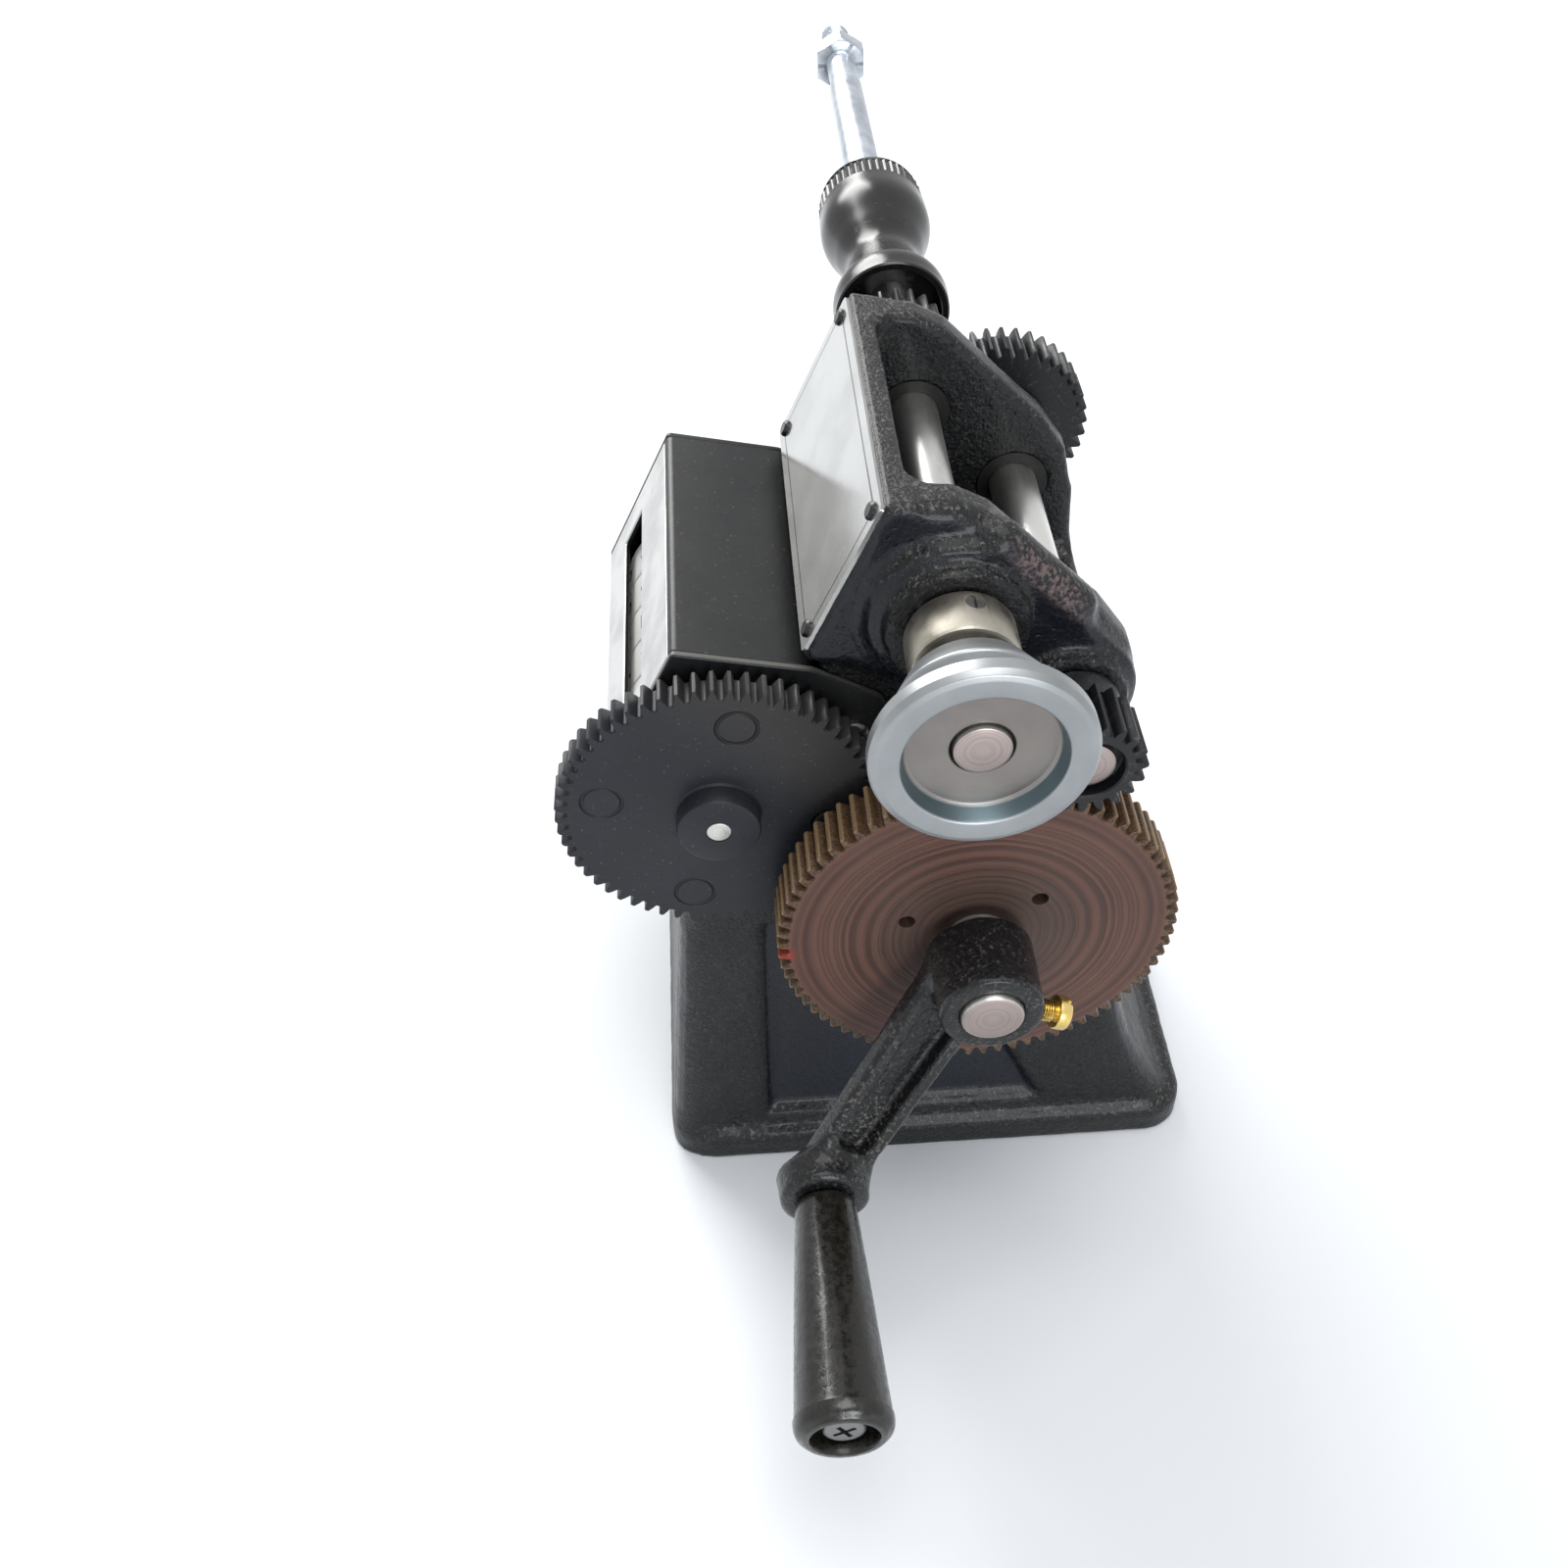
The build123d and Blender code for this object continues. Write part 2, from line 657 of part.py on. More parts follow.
counter_bracket_screws = [bracket_screw(place) for place in BRACKET_SCREWS]


def counter_bush(start, end):
    """Flangeless bush of the counter's input shaft."""
    with BuildPart() as sleeve:
        extrude(ring(COUNTER, COUNTER_BUSH_R, COUNTER_SHAFT_R + RUN, start), amount=end - start)
    return sleeve


counter_bush_near = counter_bush(COVER_HALF - 1.5, COUNTER_GEAR_BACK - SEAT)
counter_bush_far = counter_bush(-COVER_HALF - BRACKET_SHEET - 1.5, -COVER_HALF + 1.5)

with BuildPart() as counter_carry_shaft:
    extrude(
        disc(CARRY, CARRY_SHAFT_R, -COVER_HALF - BRACKET_SHEET),
        amount=2 * (COVER_HALF + BRACKET_SHEET),
    )

with BuildPart() as counter_carry_pinions:
    for gap in range(WHEEL_COUNT - 1):
        middle = WHEEL_FIRST - (gap + 0.5) * WHEEL_PITCH
        extrude(star(CARRY, CARRY_R, CARRY_ROOT_R, CARRY_TEETH, middle - 2), amount=4)
        extrude(disc(CARRY, CARRY_SHAFT_R, middle - 2), amount=4, mode=Mode.SUBTRACT)

# ---- counter train ------------------------------------------------------------------
with BuildPart() as counter_shaft:
    extrude(
        disc(COUNTER, COUNTER_SHAFT_R, RESET_KNOB_BACK + 2),
        amount=COUNTER_HUB_FRONT - RESET_KNOB_BACK - 2,
    )
    chamfer(counter_shaft.faces().sort_by(Axis.X)[-1].edges(), 0.4)

with BuildPart() as counter_gear:
    extrude(
        gear_sketch(COUNTER, COUNTER_TEETH, COUNTER_PHASE, COUNTER_SHAFT_R, COUNTER_GEAR_BACK),
        amount=COUNTER_GEAR_WIDTH,
    )
    extrude(
        ring(COUNTER, COUNTER_HUB_R, COUNTER_SHAFT_R, COUNTER_GEAR_BACK),
        amount=COUNTER_HUB_FRONT - COUNTER_GEAR_BACK,
    )
    chamfer(counter_gear.faces().sort_by(Axis.X)[-1].edges().sort_by(Edge.length)[-1], 0.5)


def number_wheel(index, bore):
    """Number wheel with a thin web between its rim and its hub; index 0 is the units wheel."""
    start = WHEEL_FIRST - index * WHEEL_PITCH - WHEEL_WIDTH / 2
    end = start + WHEEL_WIDTH
    web = (WHEEL_WIDTH - WHEEL_WEB) / 2
    with BuildPart() as wheel:
        revolve(
            turned(
                COUNTER,
                (start, bore),
                (end, bore),
                (end, WHEEL_HUB_R),
                (end - web, WHEEL_HUB_R),
                (end - web, WHEEL_R - WHEEL_RIM),
                (end, WHEEL_R - WHEEL_RIM),
                (end, WHEEL_R),
                (start, WHEEL_R),
                (start, WHEEL_R - WHEEL_RIM),
                (start + web, WHEEL_R - WHEEL_RIM),
                (start + web, WHEEL_HUB_R),
                (start, WHEEL_HUB_R),
            ),
            axis=axis_of(COUNTER),
        )
    return wheel


number_wheel_units = number_wheel(0, COUNTER_SHAFT_R)
number_wheel_tens = number_wheel(1, COUNTER_SHAFT_R + RUN)
number_wheel_hundreds = number_wheel(2, COUNTER_SHAFT_R + RUN)
number_wheel_thousands = number_wheel(3, COUNTER_SHAFT_R + RUN)
number_wheel_ten_thousands = number_wheel(4, COUNTER_SHAFT_R + RUN)

with BuildPart() as counter_reset_knob:
    knob_front = -COVER_HALF - BRACKET_SHEET - 1.5 - SEAT
    extrude(
        star(COUNTER, RESET_KNOB_R, RESET_KNOB_R - 0.8, 16, RESET_KNOB_BACK),
        amount=RESET_KNOB_LENGTH,
    )
    extrude(disc(COUNTER, 4.5, RESET_KNOB_BACK), amount=knob_front - RESET_KNOB_BACK)
    extrude(
        disc(COUNTER, COUNTER_SHAFT_R + RUN, RESET_KNOB_BACK + 1),
        amount=knob_front - RESET_KNOB_BACK - 1,
        mode=Mode.SUBTRACT,
    )

# ---- crank train --------------------------------------------------------------------
COLLAR_BACK = -HEAD_HALF - SEAT - CRANK_COLLAR_LENGTH
COLLAR_MIDDLE = COLLAR_BACK + CRANK_COLLAR_LENGTH / 2
CRANK_SHAFT_BACK = COLLAR_BACK - 1

with BuildPart() as crank_shaft:
    extrude(disc(CRANK, CRANK_R, CRANK_SHAFT_BACK), amount=CRANK_SHAFT_FRONT - CRANK_SHAFT_BACK)
    chamfer(crank_shaft.edges().filter_by(GeomType.CIRCLE), 0.4)

DOWELS = [step(CRANK, DOWEL_CIRCLE, direction) for direction in DOWEL_DIRECTIONS]

with BuildPart() as crank_gear:
    extrude(
        gear_sketch(CRANK, CRANK_TEETH, CRANK_PHASE, CRANK_R, CRANK_GEAR_BACK),
        amount=CRANK_GEAR_WIDTH,
    )
    for place in DOWELS:
        extrude(disc(place, DOWEL_R, CRANK_GEAR_BACK), amount=CRANK_GEAR_WIDTH, mode=Mode.SUBTRACT)

with BuildPart() as counter_drive_gear:
    extrude(
        gear_sketch(CRANK, COUNTER_DRIVE_TEETH, CRANK_PHASE, CRANK_R, DRIVE_GEAR_BACK),
        amount=CRANK_GEAR_BACK - DRIVE_GEAR_BACK,
    )
    for place in DOWELS:
        extrude(
            disc(place, DOWEL_R, DRIVE_GEAR_BACK),
            amount=CRANK_GEAR_BACK - DRIVE_GEAR_BACK,
            mode=Mode.SUBTRACT,
        )


def dowel(place):
    """Pin that drives the counter's gear from the crank gear, sunk below its front face."""
    with BuildPart() as pin:
        extrude(
            disc(place, DOWEL_R, DRIVE_GEAR_BACK),
            amount=CRANK_GEAR_BACK + CRANK_GEAR_WIDTH - DOWEL_SINK - DRIVE_GEAR_BACK,
        )
    return pin


gear_dowels = [dowel(place) for place in DOWELS]

with BuildPart() as crank_thrust_washer:
    extrude(
        ring(CRANK, CRANK_R + 4.5, CRANK_R, HEAD_HALF + SEAT),
        amount=DRIVE_GEAR_BACK - HEAD_HALF - SEAT,
    )

# the arm rises away from the gear so that it swings clear of the pulley
ALONG = (cos(radians(270 - CRANK_ANGLE)), sin(radians(270 - CRANK_ANGLE)))
RISE = radians(ARM_RISE)
ARM_PLANE = Plane(
    origin=(ARM_ROOT, CRANK[0], CRANK[1]),
    x_dir=(sin(RISE), cos(RISE) * ALONG[0], cos(RISE) * ALONG[1]),
    z_dir=(cos(RISE), -sin(RISE) * ALONG[0], -sin(RISE) * ALONG[1]),
)
ARM_START = HUB_R / 2
ARM_END = CRANK_LENGTH / cos(RISE)
WEB_START = HUB_R + 3.0
WEB_END = ARM_END - BOSS_R - 0.5


def arm_half(along, inset=0.0):
    """Half the arm's width at a distance along it."""
    return ARM_ROOT_HALF + (ARM_TIP_HALF - ARM_ROOT_HALF) * along / ARM_END - inset


with BuildPart() as crank_arm:
    with BuildSketch(ARM_PLANE):
        with BuildLine():
            Polyline(
                (ARM_START, -arm_half(ARM_START)),
                (ARM_END, -arm_half(ARM_END)),
                (ARM_END, arm_half(ARM_END)),
                (ARM_START, arm_half(ARM_START)),
                close=True,
            )
        make_face()
    extrude(amount=-ARM_THICKNESS)
    fillet(crank_arm.edges().group_by(Edge.length)[-1], 1.2)
    with BuildSketch(ARM_PLANE) as web_outline:
        with BuildLine():
            Polyline(
                (WEB_START, -arm_half(WEB_START, RIB_WIDTH)),
                (WEB_END, -arm_half(WEB_END, RIB_WIDTH)),
                (WEB_END, arm_half(WEB_END, RIB_WIDTH)),
                (WEB_START, arm_half(WEB_START, RIB_WIDTH)),
                close=True,
            )
        make_face()
        fillet(web_outline.vertices(), 1.5)
    extrude(amount=-WEB_DEPTH, mode=Mode.SUBTRACT)
    revolve(
        turned(
            CRANK,
            (HUB_BACK, 0),
            (HUB_BACK, CRANK_R + 0.8),
            (HUB_BACK + 3.0, HUB_R),
            (HUB_FRONT - 0.8, HUB_R),
            (HUB_FRONT, HUB_R - 0.8),
            (HUB_FRONT, 0),
        ),
        axis=axis_of(CRANK),
    )
    revolve(
        turned(
            BOSS,
            (BOSS_FRONT - BOSS_LENGTH, 0),
            (BOSS_FRONT - BOSS_LENGTH, BOSS_R - 1.5),
            (BOSS_FRONT - BOSS_LENGTH + 1.5, BOSS_R),
            (BOSS_FRONT - 1.0, BOSS_R - 0.5),
            (BOSS_FRONT, BOSS_R - 1.5),
            (BOSS_FRONT, 0),
        ),
        axis=axis_of(BOSS),
    )
    extrude(disc(CRANK, CRANK_R, HUB_BACK), amount=HUB_FRONT - HUB_BACK, mode=Mode.SUBTRACT)
    extrude(
        disc(BOSS, HANDLE_PIN_R, BOSS_FRONT - BOSS_LENGTH),
        amount=BOSS_LENGTH,
        mode=Mode.SUBTRACT,
    )
    with BuildSketch(CLAMP_PLANE):
        Circle(CLAMP_SCREW_R)
    extrude(amount=HUB_R + 1, mode=Mode.SUBTRACT)

with BuildPart() as crank_clamp_screw:
    with BuildSketch(CLAMP_PLANE.offset(CRANK_R)):
        Circle(CLAMP_SCREW_R)
    extrude(amount=CLAMP_HEAD_START - CRANK_R)
    with BuildSketch(CLAMP_PLANE.offset(CLAMP_HEAD_START)):
        Circle(CLAMP_HEAD_R)
    extrude(amount=CLAMP_HEAD_HEIGHT)
    clamp_outward = Axis(CLAMP_PLANE.origin, CLAMP_PLANE.z_dir)
    fillet(crank_clamp_screw.faces().sort_by(clamp_outward)[-1].edges(), 0.6)
    with BuildSketch(CLAMP_PLANE.offset(CLAMP_HEAD_START + CLAMP_HEAD_HEIGHT)):
        Rectangle(2 * CLAMP_HEAD_R, 1.1)
    extrude(amount=-1.6, mode=Mode.SUBTRACT)

GRIP_BACK = BOSS_FRONT + SEAT
GRIP_END = BOSS_FRONT + GRIP_LENGTH
PIN_HEAD_BACK = GRIP_END - GRIP_RECESS + SEAT

with BuildPart() as handle_pin:
    extrude(
        disc(BOSS, HANDLE_PIN_R, BOSS_FRONT - BOSS_LENGTH),
        amount=PIN_HEAD_BACK - BOSS_FRONT + BOSS_LENGTH,
    )
    extrude(disc(BOSS, HANDLE_SCREW_R, PIN_HEAD_BACK), amount=HANDLE_SCREW_HEAD)
    fillet(handle_pin.faces().sort_by(Axis.X)[-1].edges(), 0.9)
    with BuildSketch(Plane.YZ.offset(PIN_HEAD_BACK + HANDLE_SCREW_HEAD)):
        with Locations(BOSS):
            Rectangle(4.6, 0.9, rotation=30)
            Rectangle(0.9, 4.6, rotation=30)
    extrude(amount=-1.2, mode=Mode.SUBTRACT)

with BuildPart() as handle_grip:
    with BuildSketch(section_of(BOSS)):
        with BuildLine():
            Line((GRIP_BACK, HANDLE_PIN_R + RUN), (GRIP_BACK, GRIP_NECK_R - 0.6))
            Spline(
                (GRIP_BACK, GRIP_NECK_R - 0.6),
                (GRIP_BACK + 4, GRIP_NECK_R + 0.1),
                (GRIP_BACK + 22, GRIP_NECK_R + 1.4),
                (GRIP_END - 5.5, GRIP_LIP_R - 0.8),
            )
            Spline(
                (GRIP_END - 5.5, GRIP_LIP_R - 0.8),
                (GRIP_END - 3.4, GRIP_LIP_R),
                (GRIP_END - 1.2, GRIP_LIP_R - 0.5),
                (GRIP_END, GRIP_LIP_R - 2.2),
            )
            Polyline(
                (GRIP_END, GRIP_LIP_R - 2.2),
                (GRIP_END, HANDLE_SCREW_R + 2.1),
                (GRIP_END - GRIP_RECESS, HANDLE_SCREW_R + 2.1),
                (GRIP_END - GRIP_RECESS, HANDLE_PIN_R + RUN),
                (GRIP_BACK, HANDLE_PIN_R + RUN),
            )
        make_face()
    revolve(axis=axis_of(BOSS))


def set_screw(centre, x, direction, start, end, radius):
    """Headless screw along a radius of a shaft."""
    with BuildPart() as screw:
        with BuildSketch(radial_plane(centre, x, direction).offset(start)):
            Circle(radius)
        extrude(amount=end - start)
        with BuildSketch(radial_plane(centre, x, direction).offset(end)):
            Rectangle(2 * radius, 0.7)
        extrude(amount=-0.8, mode=Mode.SUBTRACT)
    return screw


def collar(centre, bore, radius, start, end, screw_x, direction):
    """Shaft collar with a radial screw hole."""
    with BuildPart() as sleeve:
        extrude(ring(centre, radius, bore, start), amount=end - start)
        chamfer(sleeve.edges().filter_by(GeomType.CIRCLE).group_by(Edge.length)[-1], 0.6)
        with BuildSketch(radial_plane(centre, screw_x, direction)):
            Circle(SET_SCREW_R)
        extrude(amount=radius + 1, mode=Mode.SUBTRACT)
    return sleeve


crank_collar = collar(
    CRANK, CRANK_R, CRANK_COLLAR_R, COLLAR_BACK, -HEAD_HALF - SEAT, COLLAR_MIDDLE, 90
)
crank_collar_screw = set_screw(CRANK, COLLAR_MIDDLE, 90, CRANK_R, CRANK_COLLAR_R - 0.6, SET_SCREW_R)

# ---- lay shaft train ----------------------------------------------------------------
FAR_GEAR_FRONT = -FAR_BEARING_FACE - SEAT
LAY_GEAR_BACK = FAR_GEAR_FRONT - LAY_GEAR_WIDTH
LAY_HUB_BACK = LAY_GEAR_BACK - LAY_HUB_LENGTH
LAY_PINION_BACK = LAY_PINION_FRONT - LAY_PINION_WIDTH

with BuildPart() as layshaft:
    extrude(
        disc(LAY, LAY_R, LAY_HUB_BACK - 1),
        amount=LAY_PINION_FRONT - PINION_SINK - LAY_HUB_BACK + 1,
    )
    chamfer(layshaft.edges().filter_by(GeomType.CIRCLE), 0.4)

with BuildPart() as layshaft_pinion:
    extrude(
        gear_sketch(LAY, LAY_PINION_TEETH, LAY_PINION_PHASE, LAY_R, LAY_PINION_BACK),
        amount=LAY_PINION_WIDTH,
    )
    extrude(
        ring(LAY, PINION_HUB_R, LAY_R, BEARING_FACE + SEAT),
        amount=LAY_PINION_BACK - BEARING_FACE - SEAT,
    )
    extrude(
        disc(LAY, LAY_R + 1.4, LAY_PINION_FRONT),
        amount=-PINION_SINK - 2.0,
        mode=Mode.SUBTRACT,
    )

with BuildPart() as layshaft_gear:
    extrude(
        gear_sketch(LAY, LAY_GEAR_TEETH, LAY_GEAR_PHASE, LAY_R, LAY_GEAR_BACK),
        amount=LAY_GEAR_WIDTH,
    )
    extrude(ring(LAY, LAY_HUB_R, LAY_R, LAY_GEAR_BACK), amount=-LAY_HUB_LENGTH)
    with BuildSketch(radial_plane(LAY, LAY_GEAR_BACK - LAY_HUB_LENGTH / 2, 60)):
        Circle(SET_SCREW_R)
    extrude(amount=LAY_HUB_R + 1, mode=Mode.SUBTRACT)

layshaft_gear_screw = set_screw(
    LAY, LAY_GEAR_BACK - LAY_HUB_LENGTH / 2, 60, LAY_R, LAY_HUB_R - 0.5, SET_SCREW_R
)

# ---- spindle ------------------------------------------------------------------------
COLLAR_START = BEARING_FACE + SEAT
CHUCK_BACK = CHUCK_FRONT - CHUCK_LENGTH
NUT_BACK = CHUCK_BACK - KNURL_LENGTH
COLLET_FRONT = CHUCK_FRONT - 31
WINDING_BACK = NUT_BACK - WINDING_LENGTH

with BuildPart() as spindle_shaft:
    extrude(disc(SPINDLE, SPINDLE_R, COLLET_FRONT), amount=SPINDLE_FRONT - COLLET_FRONT)
    chamfer(spindle_shaft.faces().sort_by(Axis.X)[-1].edges(), 0.5)

spindle_collar = collar(
    SPINDLE,
    SPINDLE_R,
    COLLAR_R,
    COLLAR_START,
    COLLAR_START + COLLAR_LENGTH,
    COLLAR_START + 3.4,
    COLLAR_SCREW_DIRECTION,
)
spindle_collar_screw = set_screw(
    SPINDLE, COLLAR_START + 3.4, COLLAR_SCREW_DIRECTION, SPINDLE_R, COLLAR_R - 0.4, SET_SCREW_R
)

with BuildPart() as belt_pulley:
    revolve(
        turned(
            SPINDLE,
            (PULLEY_BACK, SPINDLE_R),
            (PULLEY_BACK, PULLEY_NOSE_R),
            (PULLEY_BACK + 6.7, PULLEY_NOSE_R + 3.2),
            (PULLEY_BACK + 9.6, GROOVE_R),
            (PULLEY_BACK + 10.4, GROOVE_R),
            (PULLEY_BACK + 13.6, PULLEY_R - 0.3),
            (PULLEY_BACK + 14.2, PULLEY_R),
            (PULLEY_FRONT - 1.4, PULLEY_R),
            (PULLEY_FRONT - 0.4, PULLEY_R - 0.5),
            (PULLEY_FRONT, PULLEY_R - 1.5),
            (PULLEY_FRONT, RECESS_R),
            (PULLEY_FRONT - RECESS_DEPTH, RECESS_R - 0.9),
            (PULLEY_FRONT - RECESS_DEPTH, SPINDLE_R),
        ),
        axis=axis_of(SPINDLE),
    )

with BuildPart() as spindle_pinion:
    extrude(
        gear_sketch(SPINDLE, SPINDLE_TEETH, SPINDLE_PHASE, SPINDLE_R, FAR_GEAR_FRONT),
        amount=-SPINDLE_PINION_WIDTH,
    )

with BuildPart() as chuck_body:
    with BuildSketch(section_of(SPINDLE)):
        with BuildLine():
            Line((CHUCK_FRONT, CHUCK_CUP_R), (CHUCK_FRONT, CHUCK_R - 0.3))
            Spline(
                (CHUCK_FRONT, CHUCK_R - 0.3),
                (CHUCK_FRONT - 6, CHUCK_R - 0.2),
                (CHUCK_FRONT - 13, CHUCK_R - 3.0),
                (CHUCK_FRONT - 22, CHUCK_WAIST_R),
                (CHUCK_FRONT - 30, CHUCK_R - 2.5),
                (CHUCK_FRONT - 38, CHUCK_R - 0.1),
                (CHUCK_BACK, CHUCK_R),
            )
            Polyline(
                (CHUCK_BACK, CHUCK_R),
                (CHUCK_BACK, COLLET_R),
                (COLLET_FRONT, COLLET_R),
                (COLLET_FRONT, SPINDLE_R),
                (CHUCK_FRONT - CHUCK_CUP_DEPTH, SPINDLE_R),
                (CHUCK_FRONT - CHUCK_CUP_DEPTH, CHUCK_CUP_R),
                (CHUCK_FRONT, CHUCK_CUP_R),
            )
        make_face()
    revolve(axis=axis_of(SPINDLE))

with BuildPart() as chuck_nut:
    revolve(
        turned(
            SPINDLE,
            (CHUCK_BACK, COLLET_R),
            (CHUCK_BACK, CHUCK_R - 0.3),
            (NUT_BACK + 3.0, CHUCK_R - 0.3),
            (NUT_BACK, CHUCK_R - 1.7),
            (NUT_BACK, WINDING_R + 0.5),
            (NUT_BACK + 2.0, WINDING_R + 0.5),
            (NUT_BACK + 2.0, COLLET_R),
        ),
        axis=axis_of(SPINDLE),
    )

with BuildPart() as collet:
    extrude(ring(SPINDLE, COLLET_R, WINDING_R, NUT_BACK + 2.0), amount=COLLET_FRONT - NUT_BACK - 2.0)
    with BuildSketch(Plane.YZ.offset(NUT_BACK + 2.0)):
        with Locations(SPINDLE):
            for turn in range(3):
                with PolarLocations(WINDING_R + COLLET_R / 2, 1, start_angle=90 + 120 * turn):
                    Rectangle(COLLET_R, 0.8)
    extrude(amount=14, mode=Mode.SUBTRACT)

SEAT_FRONT = NUT_BACK - SEAT - RELIEF_WIDTH

with BuildPart() as winding_shaft:
    # seat for bobbins between the relief groove at the chuck nut and the thread
    extrude(
        disc(SPINDLE, WINDING_R, WINDING_BACK + THREAD_LENGTH),
        amount=COLLET_FRONT - WINDING_BACK - THREAD_LENGTH,
    )
    extrude(
        ring(SPINDLE, WINDING_R, RELIEF_R, SEAT_FRONT),
        amount=RELIEF_WIDTH,
        mode=Mode.SUBTRACT,
    )
    extrude(disc(SPINDLE, THREAD_R, WINDING_BACK), amount=THREAD_LENGTH)
    chamfer(winding_shaft.faces().sort_by(Axis.X)[0].edges(), 0.8)

# ---- files --------------------------------------------------------------------------
PIECES = {
    "frame_casting": frame_casting,
    "spindle_bush_near": spindle_bush_near,
    "spindle_bush_far": spindle_bush_far,
    "layshaft_bush_near": layshaft_bush_near,
    "layshaft_bush_far": layshaft_bush_far,
    "crank_bush_near": crank_bush_near,
    "crank_bush_far": crank_bush_far,
    "nameplate": nameplate,
    "counter_cover": counter_cover,
    "counter_face_plate": counter_face_plate,
    "counter_bracket": counter_bracket,
    "counter_end_plate": counter_end_plate,
    "counter_bush_near": counter_bush_near,
    "counter_bush_far": counter_bush_far,
    "counter_carry_shaft": counter_carry_shaft,
    "counter_carry_pinions": counter_carry_pinions,
    "counter_shaft": counter_shaft,
    "counter_gear": counter_gear,
    "number_wheel_units": number_wheel_units,
    "number_wheel_tens": number_wheel_tens,
    "number_wheel_hundreds": number_wheel_hundreds,
    "number_wheel_thousands": number_wheel_thousands,
    "number_wheel_ten_thousands": number_wheel_ten_thousands,
    "counter_reset_knob": counter_reset_knob,
    "crank_shaft": crank_shaft,
    "crank_gear": crank_gear,
    "counter_drive_gear": counter_drive_gear,
    "crank_thrust_washer": crank_thrust_washer,
    "crank_arm": crank_arm,
    "crank_clamp_screw": crank_clamp_screw,
    "handle_pin": handle_pin,
    "handle_grip": handle_grip,
    "crank_collar": crank_collar,
    "crank_collar_screw": crank_collar_screw,
    "layshaft": layshaft,
    "layshaft_pinion": layshaft_pinion,
    "layshaft_gear": layshaft_gear,
    "layshaft_gear_screw": layshaft_gear_screw,
    "spindle_shaft": spindle_shaft,
    "spindle_collar": spindle_collar,
    "spindle_collar_screw": spindle_collar_screw,
    "belt_pulley": belt_pulley,
    "spindle_pinion": spindle_pinion,
    "chuck_body": chuck_body,
    "chuck_nut": chuck_nut,
    "collet": collet,
    "winding_shaft": winding_shaft,
}
PIECES.update({f"nameplate_screw_{i + 1}": piece for i, piece in enumerate(nameplate_screws)})
PIECES.update(
    {f"counter_bracket_screw_{i + 1}": piece for i, piece in enumerate(counter_bracket_screws)}
)
PIECES.update({f"gear_dowel_{i + 1}": piece for i, piece in enumerate(gear_dowels)})

os.makedirs("parts", exist_ok=True)
for name, piece in PIECES.items():
    piece.part.label = name
    export_step(piece.part, f"parts/{name}.step")
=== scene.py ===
"""Hand-cranked coil winding machine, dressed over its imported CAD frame.

Sizes below are millimetres in the CAD frame: X along the spindle towards the crank,
the operator at -Y, +Z up, the bench at z = 0. MM turns them into metres where a mesh is
made. Only the bench's reach, the lights and the camera are given in metres.
"""
import json
from math import cos, degrees, pi, radians, sin

import bpy
import numpy as np
from mathutils import Matrix, Vector


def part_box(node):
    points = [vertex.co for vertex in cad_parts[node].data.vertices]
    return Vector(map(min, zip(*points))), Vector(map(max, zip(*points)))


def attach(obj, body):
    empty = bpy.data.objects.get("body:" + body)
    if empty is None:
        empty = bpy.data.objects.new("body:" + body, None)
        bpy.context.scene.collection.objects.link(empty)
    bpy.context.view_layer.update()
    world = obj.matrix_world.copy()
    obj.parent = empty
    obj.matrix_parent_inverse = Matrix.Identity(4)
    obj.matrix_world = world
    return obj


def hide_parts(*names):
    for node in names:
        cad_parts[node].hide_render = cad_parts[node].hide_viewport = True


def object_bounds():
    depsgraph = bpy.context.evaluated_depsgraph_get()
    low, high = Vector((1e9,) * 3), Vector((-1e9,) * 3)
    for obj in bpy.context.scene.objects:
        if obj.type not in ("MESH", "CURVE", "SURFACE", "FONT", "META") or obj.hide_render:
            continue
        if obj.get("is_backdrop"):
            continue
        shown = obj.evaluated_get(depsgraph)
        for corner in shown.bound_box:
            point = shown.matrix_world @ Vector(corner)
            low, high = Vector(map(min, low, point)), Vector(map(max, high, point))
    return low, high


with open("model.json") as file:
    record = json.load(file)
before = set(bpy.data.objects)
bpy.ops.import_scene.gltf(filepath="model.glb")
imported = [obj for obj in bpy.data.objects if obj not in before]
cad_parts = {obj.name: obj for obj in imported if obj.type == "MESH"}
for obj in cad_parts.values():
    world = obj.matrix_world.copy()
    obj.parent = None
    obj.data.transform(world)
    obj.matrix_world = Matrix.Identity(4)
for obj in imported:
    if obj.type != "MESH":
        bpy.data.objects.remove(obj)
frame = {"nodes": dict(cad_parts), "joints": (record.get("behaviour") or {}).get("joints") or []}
CAD_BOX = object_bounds()
MM = 0.001


# ---- places read from the frame -----------------------------------------------------
def axis_of(joint_name):
    """(y, z) of a joint's axis."""
    joint = next(j for j in frame["joints"] if j["name"] == joint_name)
    return np.array(joint["pos_m"][1:]) / MM


def span(node):
    """Lowest and highest x of a CAD node."""
    low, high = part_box(node)
    return low.x / MM, high.x / MM


def around(axis, x, radius, direction):
    """Point at a radius from an X-wise axis, its direction in degrees from +Y towards +Z."""
    turn = radians(direction)
    return x, axis[0] + radius * cos(turn), axis[1] + radius * sin(turn)


CRANK = axis_of("crank_turn")
HANDLE = axis_of("handle_spin")
LAY = axis_of("layshaft_turn")
SPINDLE = axis_of("spindle_turn")
COUNTER = axis_of("counter_turn")
CRANK_LENGTH = np.hypot(*(HANDLE - CRANK))
ALONG_ARM = (HANDLE - CRANK) / CRANK_LENGTH


